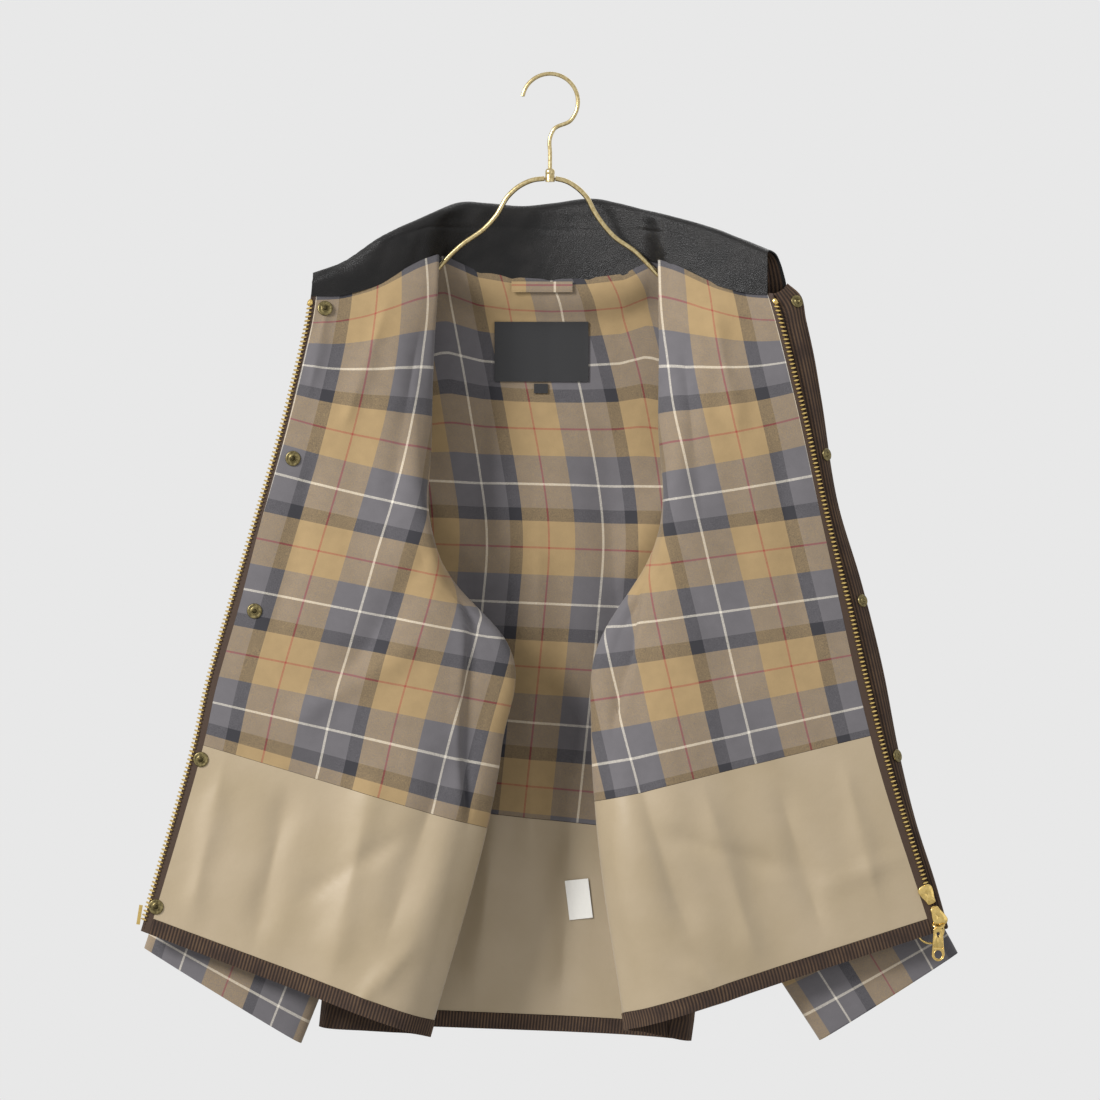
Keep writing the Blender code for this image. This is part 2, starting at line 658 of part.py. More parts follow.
def patch(name, grid, corner, opposite, low, high, colour, lean_deg=0.0):
    """A thin rectangle that follows the back's lining between two corners (x, z)."""
    columns, rows = 5, 4
    xs = np.linspace(corner[0], opposite[0], columns)
    zs = np.linspace(corner[1], opposite[1], rows)
    x, z = np.meshgrid(xs, zs)
    middle = ((corner[0] + opposite[0]) / 2, (corner[1] + opposite[1]) / 2)
    turn = math.radians(lean_deg)
    dx, dz = x - middle[0], z - middle[1]
    x = middle[0] + dx * math.cos(turn) - dz * math.sin(turn)
    z = middle[1] + dx * math.sin(turn) + dz * math.cos(turn)
    points = np.zeros(x.shape + (3,))
    for index in np.ndindex(x.shape):
        row = int(np.clip(np.searchsorted(-grid[:, 9, 2], -z[index]) - 1, 0, len(grid) - 2))
        drop = (grid[row, 9, 2] - z[index]) / (grid[row, 9, 2] - grid[row + 1, 9, 2])
        line = grid[row] * (1 - drop) + grid[row + 1] * drop
        points[index] = (x[index], np.interp(x[index], line[:, 0], line[:, 1]), z[index])
    lean = np.zeros_like(points)
    lean[..., 1] = -1
    return add_wall(name, points, lean, low, high, colour)


def make_labels(grid):
    """Neck label, size tag, care label and hanging loop on the back's lining, all bare."""
    patch("main_label", grid, (-52, -227), (36, -283), 2.2, 3.0, "label")
    patch("size_tag", grid, (-15, -285), (-2, -294), 2.2, 2.8, "label")
    patch("care_label", grid, (16, -750), (38, -787), 2.4, 2.9, "care", 7)
    patch("hanging_loop", grid, (-36, -190), (21, -200), 3.2, 4.4, "check")


# ---------- zip ----------

def plate(name, outline, front, back, colour):
    """A flat piece cut to an outline in the XZ plane."""
    return add_ring_wall(name, [[(x, y, z) for x, z in outline] for y in (front, back)], colour)


def turned(outline, place, tilt):
    """An outline moved to its place and tilted from vertical."""
    c, s = math.cos(tilt), math.sin(tilt)
    return [(place[0] + x * c - z * s, place[1] + x * s + z * c) for x, z in outline]


SHIELD = [(-7, 6), (-5, 9), (0, 10), (5, 9), (7, 6), (6, 0),
          (4.2, -5), (4, -9), (-4, -9), (-4.2, -5), (-6, 0)]
ZIP_TILT = math.radians(27)
PIVOT = (355.0, -789.0)
RING_PIVOT = (349.0, -778.0)


def make_zip(left, right):
    """Pin, sliders, and the two pulls, which hang free."""
    front = float(right[-1, 0, 1]) - 3.4
    plate("zip_slider_upper", turned(SHIELD, (346, -757), ZIP_TILT), front - 2.6, front, "brass")
    lower = [(x, -z) for x, z in SHIELD][::-1]
    plate("zip_slider_lower", turned(lower, (355.5, -776.3), ZIP_TILT), front - 2.6, front, "brass")
    pin = left[-1, 0]
    body = [(-1.6, 0), (1.6, 0), (1.6, 18), (-1.6, 18)]
    standing = turned(body, (pin[0] - 2.4, pin[2] + 6), math.radians(-9))
    plate("insertion_pin", standing, pin[1] - 2.6, pin[1] - 0.6, "brass")
    pivot_y = front - 4.6
    x, z = PIVOT
    bail = [(x - 2, z + 3), (x + 2, z + 3), (x + 2, z + 5), (x - 2, z + 5)]
    plate("lower_bail", bail, pivot_y - 0.3, front - 2.9, "brass")
    turn = np.linspace(0, 2 * np.pi, 20, endpoint=False)
    hole_z = -TAB_LENGTH + TAB_WIDTH / 2
    outer, inner = [], []
    for a in turn:
        c, s = math.cos(a), math.sin(a)
        foot = (TAB_WIDTH / 2 * c, hole_z + TAB_WIDTH / 2 * s)
        outer.append((4.4 * c, 2 * s) if s > 0 else foot)
        inner.append((3.4 * c, hole_z + 3.4 * s))
    loop_wall("pull_tab", outer, inner, PIVOT, (pivot_y - TAB_THICK / 2, pivot_y + TAB_THICK / 2))
    ring_y = float(right[-1, 1, 1]) + 4.4
    steps = np.linspace(0, 2 * np.pi, 20, endpoint=False)
    centre_z = RING_PIVOT[1] - RING_RADIUS
    x, z = RING_PIVOT
    bail = [(x - 2, z - 3.8), (x + 2, z - 3.8), (x + 2, z - 1.4), (x - 2, z - 1.4)]
    plate("upper_bail", bail, ring_y - 1.8, ring_y + 1.8, "brass")
    torus("ring_pull", (RING_PIVOT[0], ring_y, centre_z), steps)
    return pivot_y, ring_y


def loop_wall(name, outer, inner, place, depths):
    """A plate with one hole: four loops joined round, outer front, outer back, inner back, inner front."""
    loops = []
    for shape, y in ((outer, depths[0]), (outer, depths[1]), (inner, depths[1]), (inner, depths[0])):
        loops.append([(place[0] + x, y, place[1] + z) for x, z in shape])
    return ring_of_loops(name, np.array(loops).transpose(1, 0, 2))


def ring_of_loops(name, sections):
    """A closed ring: each section is joined to the next, and the last one to the first."""
    rows, columns = sections.shape[:2]
    r, c = np.meshgrid(np.arange(rows), np.arange(columns), indexing="ij")
    after, beside = (r + 1) % rows, (c + 1) % columns
    faces = np.stack([r * columns + c, after * columns + c, after * columns + beside, r * columns + beside],
                     axis=-1).reshape(-1, 4)
    return add_object(name, sections.reshape(-1, 3), faces, "brass")


def torus(name, centre, steps):
    """A wire ring in the XZ plane."""
    small = np.linspace(0, 2 * np.pi, 6, endpoint=False)
    sections = []
    for a in steps:
        spokes = RING_RADIUS + RING_WIRE / 2 * np.cos(small)
        sections.append(np.stack([centre[0] + spokes * math.cos(a), centre[1] + RING_WIRE / 2 * np.sin(small),
                                  centre[2] + spokes * math.sin(a)], axis=1))
    return ring_of_loops(name, np.array(sections))


def main():
    """Builds the jacket from its back forward, then its fastenings and the hanger."""
    for old in list(bpy.data.objects):
        bpy.data.objects.remove(old, do_unlink=True)
    left, left_normal = make_front("left", LEFT_FRONT, LEFT_SEAM_ROW)
    right, right_normal = make_front("right", RIGHT_FRONT, RIGHT_SEAM_ROW)
    back = make_back(BACK_SEAM_Z)
    make_sleeve("left", LEFT_SLEEVE)
    make_sleeve("right", RIGHT_SLEEVE)
    make_collar([left[0], right[0], back[0]])
    flap, flap_lean = make_flap(right, right_normal)
    make_hanger()
    make_snaps(left, left_normal, flap, flap_lean)
    make_labels(back)
    make_zip(left, right)


main()
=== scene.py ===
"""Looks of a corduroy jacket on a wire hanger: cloth, leather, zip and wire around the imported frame."""

import logging
import math
from dataclasses import dataclass
from enum import Enum
from typing import NamedTuple

import bpy
import numpy as np
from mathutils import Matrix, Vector

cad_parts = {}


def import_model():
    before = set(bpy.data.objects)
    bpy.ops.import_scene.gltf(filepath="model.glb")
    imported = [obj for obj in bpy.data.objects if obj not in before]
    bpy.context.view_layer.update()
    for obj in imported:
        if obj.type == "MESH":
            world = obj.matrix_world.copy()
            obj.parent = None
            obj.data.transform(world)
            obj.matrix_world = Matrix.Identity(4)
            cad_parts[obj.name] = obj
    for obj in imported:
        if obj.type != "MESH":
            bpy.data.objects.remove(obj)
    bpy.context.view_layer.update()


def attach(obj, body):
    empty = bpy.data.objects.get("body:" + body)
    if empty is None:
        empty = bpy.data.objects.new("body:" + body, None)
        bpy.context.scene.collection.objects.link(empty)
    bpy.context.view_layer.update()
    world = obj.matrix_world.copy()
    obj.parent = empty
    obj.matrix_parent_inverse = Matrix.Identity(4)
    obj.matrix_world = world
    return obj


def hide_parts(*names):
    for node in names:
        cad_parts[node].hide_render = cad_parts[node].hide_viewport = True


LOG = logging.getLogger("jacket")
MM = 0.001
# Walls, gaps, reliefs and pitches in mm
SHELL_WALL = 2.0
LINING_WALL = 1.0
HEM_WALL = 2.0
LEATHER_WALL = 1.4
TAPE_WALL = 0.8
HALF_GAP = 0.15
HEM_DEPTH = 15.0
WALE_PITCH = 3.1
WALE_RISE = 0.55
CHECK_REPEAT = 112.0
TOOTH_PITCH = 3.9
TOOTH_LIFT = 0.6
# How far back the second layer at a fold lies inside and outside, how wide the step is, and where folds begin
LAYER_STEP = 7.0
SOFT_STEP = 8.5
STEP_WIDTH = 5.0
FOLD_TOP = 105.0
# How much further the storm flap stands off its front at the foot
FLAP_LIFT = 4.5
# How far in from the zip's edge the shell and the linings begin
SHELL_INSET = 4.5
LINING_INSET = 8.3
# Half of the gap between two linings, in rows of a panel's grid
SEAM_GAP = 0.03
# Creases come out deeper and narrower than their tables say, which is how dark they look in the photo
CREASE_DEPTH = 1.9
CREASE_WIDTH = 0.85
# Edges sharper than this, in degrees, aren't shaded smooth
SHARP_DEG = 50
HANGER_ARMS = ["hanger_arm_left", "hanger_arm_right"]
# How far down the rows of each front the check meets the nylon
LEFT_SEAM = 0.7717
RIGHT_SEAM = 0.6911


class FrontRow(NamedTuple):
    """One row of a front's cloth, from the zip edge round the fold to the side edge."""

    down: float
    zip_x: float
    zip_y: float
    zip_z: float
    sag: float
    ridge_x: float
    ridge_y: float
    tip_x: float
    tip_z: float
    back_y: float
    side_x: float
    side_y: float
    side_z: float


class SleeveRing(NamedTuple):
    """One ring of a flattened sleeve, between its outer and inner edges."""

    outer_x: float
    outer_z: float
    inner_x: float
    inner_z: float
    centre_y: float
    half_thick: float


class CollarStation(NamedTuple):
    """One section of the collar: the neck seam, the rolled top and the edge of the fall behind."""

    seam_x: float
    seam_y: float
    seam_z: float
    top_x: float
    top_z: float
    fall_x: float
    fall_z: float
    depth: float


LEFT_FRONT = [FrontRow(*row) for row in (
    (0.00, -220, -45, -206, -10, -112, -13, -104, -167, -1.7, -206, -1.7, -226),
    (0.02, -221, -46, -216, -8, -113, -19, -104, -180, -8.5, -205, -4.0, -234),
    (0.16, -239, -51, -300, -3, -121, -42, -110, -322, -10, -190, -9.0, -312),
    (0.40, -276, -54, -432, 0, -98, -53, -90, -470, -13, -172, -1.1, -440),
    (0.48, -289, -55, -476, 0, -84, -55, -42, -524, -13, -176, -1.1, -492),
    (0.64, -314, -57, -563, 0, -86, -55, -45, -620, -14, -187, -1.1, -610),
    (0.78, -327, -59, -622, 0, -84, -55, -60, -703, -14, -196, -1.1, -703),
    (1.00, -375, -61, -790, 0, -126, -52, -112, -890, -14, -213, -1.1, -884),
)]

RIGHT_FRONT = [FrontRow(*row) for row in (
    (0.00, 205, -48, -205, -7, 110, -13, 101, -172, -1.7, 206, -1.7, -227),
    (0.02, 208, -49, -215, -6, 111, -19, 101, -184, -8.5, 205, -4.0, -235),
    (0.15, 228, -52, -293, -3, 111, -42, 101, -312, -10, 190, -9.0, -312),
    (0.38, 259, -55, -430, 0, 99, -53, 91, -452, -13, 172, -1.1, -440),
    (0.47, 274, -56, -490, 0, 88, -55, 48, -522, -13, 168, -1.1, -500),
    (0.61, 291, -57, -564, 0, 66, -55, 39, -616, -14, 160, -1.1, -615),
    (0.71, 305, -59, -620, 0, 56, -55, 43, -686, -14, 153, -1.1, -690),
    (1.00, 358, -61, -790, 0, 88, -52, 70, -884, -14, 130, -1.1, -897),
)]

LEFT_SLEEVE = [SleeveRing(*row) for row in (
    (-209, -229, -175, -436, 0, 9),
    (-217, -256, -186, -450, -18, 10),
    (-225, -292, -170, -486, -29, 10),
    (-244, -374, -138, -540, -31, 10),
    (-265, -455, -121, -590, -31, 10),
    (-295, -556, -140, -652, -31, 10),
    (-323, -649, -164, -718, -31, 10),
    (-348, -735, -190, -790, -31, 10),
    (-372, -809, -232, -895, -31, 11),
)]

RIGHT_SLEEVE = [SleeveRing(*row) for row in (
    (209, -229, 175, -436, 0, 9),
    (217, -256, 186, -450, -18, 10),
    (226, -292, 172, -486, -29, 10),
    (246, -374, 144, -540, -31, 10),
    (265, -455, 130, -590, -31, 10),
    (288, -556, 140, -652, -31, 10),
    (309, -649, 156, -718, -31, 10),
    (333, -735, 186, -790, -30, 10),
    (374, -814, 251, -892, -30, 11),
)]

COLLAR = [CollarStation(*row) for row in (
    (-220, -45, -205, -218, -187, -218, -238, 13.5),
    (-193, -39, -205.5, -188, -175, -188, -240, 13.5),
    (-170, -34, -199.5, -158, -154, -158, -226, 13.5),
    (-129, -20, -181, -118, -134, -118, -171, 13.5),
    (-112, -11, -168, -100, -125, -100, -156, 13.5),
    (-100, 5, -165, -88, -119, -88, -154, 13.5),
    (-68, 17, -179.5, -58, -118, -58, -168, 13.5),
    (-36, 25, -185, -28, -120, -28, -174, 13.5),
    (0, 28, -187, 4, -117, 4, -176, 13.5),
    (36, 25, -186, 38, -113, 38, -174, 13.5),
    (70, 17, -182, 64, -118, 64, -170, 13.5),
    (94, 5, -170, 88, -125, 88, -158, 13.5),
    (108, -11, -173, 104, -130, 104, -160, 13.5),
    (128, -20, -184, 128, -137, 128, -174, 13.5),
    (160, -35, -197, 160, -148, 161, -222, 14.5),
    (200, -47.5, -201.5, 200, -166, 219, -222, 18),
)]

# The two arms' wires, as (x, z), from the ferrule outward under the shoulders
ARM_LEFT = [(-6, -96), (-16, -97), (-29, -103), (-39, -112), (-50, -130), (-61, -142), (-82, -157),
            (-94, -168), (-103, -178), (-114, -187), (-127, -195), (-195, -237)]
ARM_RIGHT = [(4, -96), (15, -98), (25, -104), (34, -113), (41, -126), (50, -139), (59, -149), (80, -164),
             (92, -176), (102, -186), (114, -194), (127, -201), (193, -238)]

# The storm flap's free edge from the top down, the studs and the sockets, as (x, z)
FLAP_EDGE = [(219, -195), (231, -206), (236, -228), (243, -260), (250, -301), (266, -401), (286, -468),
             (306, -548), (322, -631), (337, -692), (354, -745), (366, -787)]
STUDS = [(-207, -219), (-236, -357), (-271, -497), (-320, -633), (-361, -768)]
SOCKETS = [(224, -213), (246, -352), (286, -489), (312, -630)]

# Wrinkles of the leather stand: (place across, slant, width, depth) in mm
COLLAR_CREASES = [
    (-150, 12, 7, -0.9), (-128, 20, 6, 1.0), (-104, -14, 7, -1.3), (-86, -22, 6, 0.9), (-62, 10, 8, -0.7),
    (84, 16, 6, -1.2), (101, 24, 7, 1.1), (118, -12, 6, -1.1), (137, -18, 8, 0.9), (168, 10, 9, -0.7),
]


class Crease(NamedTuple):
    """A soft trough or ridge in a cloth, from one place to another in the picture plane."""

    from_x: float
    from_z: float
    to_x: float
    to_z: float
    width: float
    depth: float


LEFT_CREASES = [Crease(*row) for row in (
    (-118, -230, -150, -420, 16, -2.6), (-150, -215, -190, -330, 13, 2.0),
    (-100, -430, -190, -560, 20, -3.0), (-110, -520, -240, -600, 17, 2.4),
    (-90, -620, -150, -800, 22, -3.4), (-160, -640, -200, -830, 18, 2.6),
    (-240, -660, -270, -800, 15, -2.2), (-215, -350, -255, -520, 19, -1.8),
    (-300, -640, -330, -780, 14, 1.8), (-130, -700, -230, -760, 11, -1.6),
    (-205, -216, -222, -300, 10, 1.6), (-120, -800, -180, -858, 13, 2.0),
)]
RIGHT_CREASES = [Crease(*row) for row in (
    (118, -230, 140, -410, 15, -2.8), (150, -215, 175, -340, 12, 2.2),
    (95, -440, 180, -560, 24, -2.1), (90, -520, 210, -640, 16, 2.8),
    (70, -620, 130, -800, 21, -3.2), (140, -660, 190, -820, 17, 2.4),
    (210, -660, 250, -790, 16, -2.4), (205, -340, 235, -520, 18, -1.9),
    (270, -640, 300, -760, 13, 1.7), (100, -700, 220, -735, 12, -1.7),
    (250, -750, 330, -720, 10, 1.5), (90, -810, 170, -850, 13, 2.1),
)]
BACK_CREASES = [Crease(*row) for row in (
    (-60, -300, -90, -620, 26, -3.0), (50, -320, 70, -600, 24, -2.6),
    (-10, -420, -20, -760, 20, 2.6), (-50, -680, -70, -860, 18, 2.8),
    (20, -690, 10, -870, 20, -2.8), (-150, -330, -60, -470, 22, 3.0),
    (150, -330, 60, -480, 22, 3.0), (-170, -470, -90, -560, 18, -2.6),
    (150, -480, 80, -590, 19, -2.4), (-130, -620, -150, -840, 24, 3.2),
    (90, -640, 95, -850, 21, 3.0),
)]
# Creases round a sleeve: (share of the way down, angle round it in radians, width, depth) in mm
SLEEVE_CREASES = [
    (0.10, 0.2, 26, -3.0), (0.22, 1.4, 22, 3.4), (0.31, 3.6, 20, -3.2), (0.43, 0.9, 24, 2.6),
    (0.52, 4.4, 18, -2.8), (0.61, 2.2, 21, -3.0), (0.72, 5.2, 17, 2.4), (0.82, 0.5, 19, -2.2),
]

# Lines behind which a front's lining steps back to its second layer, as (x, z)
LEFT_LAYER = [(-106, -340), (-104, -376), (-97, -417), (-85, -471), (-74, -511), (-78, -545), (-80, -578),
              (-82, -624), (-80, -660), (-74, -700), (-70, -730)]
RIGHT_LAYER = [(100, -420), (93, -450), (83, -471), (80, -511), (77, -542), (68, -569), (63, -590),
               (57, -619), (49, -646), (47, -680), (46, -705)]
# The line of stitches along the collar's stand, as (x, z)
STAND_LINE = [(-222, -196), (-180, -170), (-140, -151), (-113, -141.5), (-50, -139.5), (0, -141.5),
              (83, -142.5), (110, -147), (140, -154), (200, -172)]
# A slider's plate, head up, as (x, z) about its middle
SHIELD = [(-7, 6), (-5, 9), (0, 10), (5, 9), (7, 6), (6, 0), (4.2, -5), (4, -9), (-4, -9), (-4.2, -5),
          (-6, 0)]


class Label(NamedTuple):
    """A flat piece on the back: its place in the picture, its depth off the mid-surface and its lean."""

    name: str
    look: str
    slot: str
    node: str
    left: float
    top: float
    right: float
    bottom: float
    low: float
    wall: float
    lean_deg: float = 0.0


LABELS = [Label(*row) for row in (
    ("neck_label", "label", "black_label", "main_label", -52, -227, 36, -283, 2.3, 0.7),
    ("size_label", "label", "black_label", "size_tag", -15, -285, -2, -294, 2.2, 0.6),
    ("washing_label", "care", "care_label", "care_label", 16, -750, 38, -787, 2.4, 0.5, 7),
    ("check_hanging_loop", "check", "check_cotton", "hanging_loop", -36, -190, 21, -200, 3.2, 1.2),
)]


class Looks(Enum):
    """How a cloth layer's faces are made: WALES puts the pile on the face farther from the mid-surface."""

    PLAIN = "plain"
    WALES = "wales"
    NEAR_WALES = "wales on the near face"


# ---------- colour and nodes ----------

def linear(hex_colour: str) -> tuple[float, float, float, float]:
    """An sRGB hex colour as a linear one.

    Args:
        hex_colour: such as "2e2013".

    Returns:
        Red, green, blue and alpha.
    """
    parts = [int(hex_colour[i : i + 2], 16) / 255 for i in (0, 2, 4)]
    red, green, blue = [c / 12.92 if c <= 0.04045 else ((c + 0.055) / 1.055) ** 2.4 for c in parts]
    return red, green, blue, 1.0


class Cloth:
    """A material under way: its tree, its shader and its coordinate sockets."""

    def __init__(self, name: str, roughness: float, metallic: float = 0.0) -> None:
        """Starts a material with these two values on its shader."""
        self.material = bpy.data.materials.new(name)
        self.material.use_nodes = True
        self.tree = self.material.node_tree
        self.shader = self.tree.nodes["Principled BSDF"]
        self.shader.inputs["Roughness"].default_value = roughness
        self.shader.inputs["Metallic"].default_value = metallic
        place = self.add("ShaderNodeTexCoord")
        self.place, self.uv = place.outputs["Object"], place.outputs["UV"]

    def add(self, kind: str, settings: dict | None = None, links: dict | None = None):
        """Adds a shader node.

        Args:
            kind: the node's type name.
            settings: properties, or socket values by name or index; "stops" fills a ramp with (place, hex).
            links: what feeds its inputs, by name or index: a socket, or a node for that node's first output.

        Returns:
            The node.
        """
        node = self.tree.nodes.new(kind)
        for key, value in (settings or {}).items():
            if key == "stops":
                while len(node.color_ramp.elements) < len(value):
                    node.color_ramp.elements.new(0.5)
                for element, (place, colour) in zip(node.color_ramp.elements, value):
                    element.position = place
                    element.color = linear(colour)
            elif isinstance(key, str) and hasattr(node, key):
                setattr(node, key, value)
            else:
                node.inputs[key].default_value = value
        for key, source in (links or {}).items():
            self.tree.links.new(getattr(source, "outputs", [source])[0], node.inputs[key])
        return node

    def finish(self, colour, height, strength: float, distance: float, gloss=None):
        """Feeds the shader.

        Args:
            colour: the socket of the base colour.
            height: the node or socket of the relief.
            strength: how much of the relief is used.
            distance: the relief's height in metres.
            gloss: the socket of the roughness, if it varies.

        Returns:
            The material.
        """
        relief = self.add("ShaderNodeBump", {"Strength": strength, "Distance": distance}, {"Height": height})
        self.tree.links.new(relief.outputs[0], self.shader.inputs["Normal"])
        self.tree.links.new(colour, self.shader.inputs["Base Color"])
        if gloss:
            self.tree.links.new(gloss, self.shader.inputs["Roughness"])
        return self.material


@dataclass(frozen=True)
class Corduroy:
    """Cut-pile cotton: furrows painted dark as painted shade, tops of the wales painted paler as painted
    light and paler still where rubbed in patches, and a soft nap.
    """

    # Colours of the painted shade in the furrows, of the pile, and of the tops, where painted light and
    # rubbed wear make them paler
    furrow_shade: str = "170d06"
    pile: str = "35241a"
    lit_and_rubbed_top: str = "54402c"
    nap_mm: float = 0.5
    wear_mm: float = 17.0

    def make(self, name: str = "cotton_corduroy", bumped: bool = False):
        """The material; the wales are geometry, or bump where `bumped` is set.

        Args:
            name: the material's name.
            bumped: whether the wales are drawn by bump as well.

        Returns:
            The material.
        """
        cloth = Cloth(name, 0.92)
        cloth.shader.inputs["Sheen Weight"].default_value = 0.35
        cloth.shader.inputs["Sheen Roughness"].default_value = 0.45
        cloth.shader.inputs["Sheen Tint"].default_value = linear("8a6a48")
        split = cloth.add("ShaderNodeSeparateXYZ", links={0: cloth.uv})
        turns = {"operation": "MULTIPLY", 1: 2 * math.pi / (WALE_PITCH * MM)}
        turn = cloth.add("ShaderNodeMath", turns, {0: split})
        wave = cloth.add("ShaderNodeMath", {"operation": "COSINE"}, {0: turn})
        # The colour follows the wales' height: the furrows are painted dark as painted shade, the tops paler
        # as painted light, and paler still where they are rubbed in patches
        height = cloth.add("ShaderNodeMath", {"operation": "MULTIPLY_ADD", 1: 0.5, 2: 0.5}, {0: wave})
        wear = cloth.add("ShaderNodeTexNoise", {"Scale": 1000 / self.wear_mm, "Detail": 3.0},
                         {0: cloth.place})
        pile = cloth.add("ShaderNodeTexNoise", {"Scale": 1000 / self.nap_mm, "Detail": 2.0},
                         {0: cloth.place})
        tops = cloth.add("ShaderNodeMath", {"operation": "MULTIPLY"}, {0: height, 1: wear})
        mixed = cloth.add("ShaderNodeMath", {"operation": "MULTIPLY_ADD", 1: 0.35}, {0: pile, 2: tops})
        stops = [(0.15, self.furrow_shade), (0.45, self.pile), (0.85, self.lit_and_rubbed_top)]
        colour = cloth.add("ShaderNodeValToRGB", {"stops": stops}, {0: mixed})
        # The fine nap breaks up the light, so that the pile looks like fibre and not like plastic
        relief = cloth.add("ShaderNodeMath", {"operation": "MULTIPLY_ADD", 1: 0.25, 2: 0.0}, {0: pile})
        if bumped:
            cloth.tree.links.new(height.outputs[0], relief.inputs[2])
        return cloth.finish(colour.outputs[0], relief, 0.6, 0.0006)


@dataclass(frozen=True)
class CheckCotton:
    """Plain-woven cotton in a block check of two bands, with one fine line in the middle of each band."""

    tan: str = "927b56"
    slate: str = "5c595c"
    cream: str = "c8c1b4"
    rust: str = "8c3c30"
    dark: str = "26252a"
    yarn_mm: float = 0.7
    slub_mm: float = 11.0
    shift: tuple[float, float] = (10.2, 10.5)

    def make(self):
        """The material, on the cloth's own UV map in metres; the check repeats every CHECK_REPEAT mm."""
        cloth = Cloth("woven_check_cotton", 0.88)
        cloth.shader.inputs["Sheen Weight"].default_value = 0.15
        split = cloth.add("ShaderNodeSeparateXYZ", links={0: cloth.uv})
        stops = [(0.0, self.slate), (0.23, self.cream), (0.25, self.slate), (0.44, self.dark),
                 (0.55, self.tan), (0.765, self.rust), (0.78, self.tan)]
        threads = []
        for axis in (0, 1):
            share = {"operation": "MULTIPLY_ADD", 1: 1 / (CHECK_REPEAT * MM), 2: self.shift[axis]}
            place = cloth.add("ShaderNodeMath", share, {0: split.outputs[axis]})
            place = cloth.add("ShaderNodeMath", {"operation": "FRACT"}, {0: place})
            bands = cloth.add("ShaderNodeValToRGB", {"stops": stops}, {0: place})
            bands.color_ramp.interpolation = "CONSTANT"
            threads.append(bands.outputs[0])
        # Warp and weft show through each other grain by grain, so the bands cross in four mixed tones
        fibre = cloth.add("ShaderNodeTexNoise", {"Scale": 1000 / self.yarn_mm, "Detail": 4.0},
                          {0: cloth.place})
        weave = cloth.add("ShaderNodeMapRange", {1: 0.35, 2: 0.65, 3: 0.32, 4: 0.68}, {0: fibre})
        mix = cloth.add("ShaderNodeMix", {"data_type": "RGBA"},
                        {"Factor": weave, 6: threads[0], 7: threads[1]})
        patches = cloth.add("ShaderNodeTexNoise", {"Scale": 1000 / self.slub_mm, "Detail": 3.0},
                            {0: cloth.place})
        slub = cloth.add("ShaderNodeMapRange", {3: 0.86, 4: 1.1}, {0: patches})
        shade = cloth.add("ShaderNodeHueSaturation", links={"Value": slub, "Color": mix.outputs[2]})
        return cloth.finish(shade.outputs[0], fibre, 0.35, 0.0004)


@dataclass(frozen=True)
class Nylon:
    """Smooth calendered nylon taffeta: faint sheen and fine puckers."""

    body: str = "9d8d74"
    shade: str = "95856a"
    pucker_mm: float = 16.0
    cloud_mm: float = 70.0

    def make(self):
        """The material."""
        cloth = Cloth("nylon_taffeta", 0.5)
        cloth.shader.inputs["Sheen Weight"].default_value = 0.2
        cloud = cloth.add("ShaderNodeTexNoise", {"Scale": 1000 / self.cloud_mm, "Detail": 3.0},
                          {0: cloth.place})
        stops = [(0.3, self.shade), (0.7, self.body)]
        colour = cloth.add("ShaderNodeValToRGB", {"stops": stops}, {0: cloud})
        # Small puckers, as thin cloth has where it hangs loose behind heavier cloth
        pucker = cloth.add("ShaderNodeTexNoise", {"Scale": 1000 / self.pucker_mm, "Detail": 4.0},
                           {0: cloth.place})
        return cloth.finish(colour.outputs[0], pucker, 0.2, 0.002)


@dataclass(frozen=True)
class Leather:
    """Aniline-dyed cowhide: near black, fine pebble grain, soft broken gloss."""

    body: str = "0c0b0b"
    rub: str = "191716"
    grain_mm: float = 0.8
    crease_mm: float = 26.0
    rub_mm: float = 25.0

    def make(self):
        """The material."""
        cloth = Cloth("black_cowhide", 0.4)
        cloth.shader.inputs["IOR"].default_value = 1.36
        grain = cloth.add("ShaderNodeTexVoronoi", {"Scale": 1000 / self.grain_mm}, {0: cloth.place})
        rubbed = cloth.add("ShaderNodeTexNoise", {"Scale": 1000 / self.rub_mm, "Detail": 5.0},
                           {0: cloth.place})
        stops = [(0.35, self.body), (0.75, self.rub)]
        colour = cloth.add("ShaderNodeValToRGB", {"stops": stops}, {0: rubbed})
        gloss = cloth.add("ShaderNodeMapRange", {3: 0.28, 4: 0.5}, {0: rubbed})
        # Long soft wrinkles under the pebble grain break the highlight into streaks
        folds = cloth.add("ShaderNodeTexNoise", {"Scale": 1000 / self.crease_mm, "Detail": 2.0},
                          {0: cloth.place})
        relief = cloth.add("ShaderNodeMath", {"operation": "MULTIPLY_ADD", 1: 5.0}, {0: folds, 2: grain})
        return cloth.finish(colour.outputs[0], relief, 0.4, 0.001, gloss.outputs[0])


@dataclass(frozen=True)
class Metal:
    """Plated or solid metal: one colour, fine marks in its gloss."""

    name: str
    body: str
    dull: str
    roughness: float
    mark_mm: float = 2.4

    def make(self):
        """The material; its marks are small scuffs that keep it from looking new."""
        cloth = Cloth(self.name, self.roughness, 1.0)
        marks = cloth.add("ShaderNodeTexNoise", {"Scale": 1000 / self.mark_mm, "Detail": 4.0},
                          {0: cloth.place})
        stops = [(0.35, self.dull), (0.65, self.body)]
        colour = cloth.add("ShaderNodeValToRGB", {"stops": stops}, {0: marks})
        gloss = cloth.add("ShaderNodeMapRange", {3: self.roughness * 0.8, 4: self.roughness * 1.3},
                          {0: marks})
        return cloth.finish(colour.outputs[0], marks, 0.05, 0.0003, gloss.outputs[0])


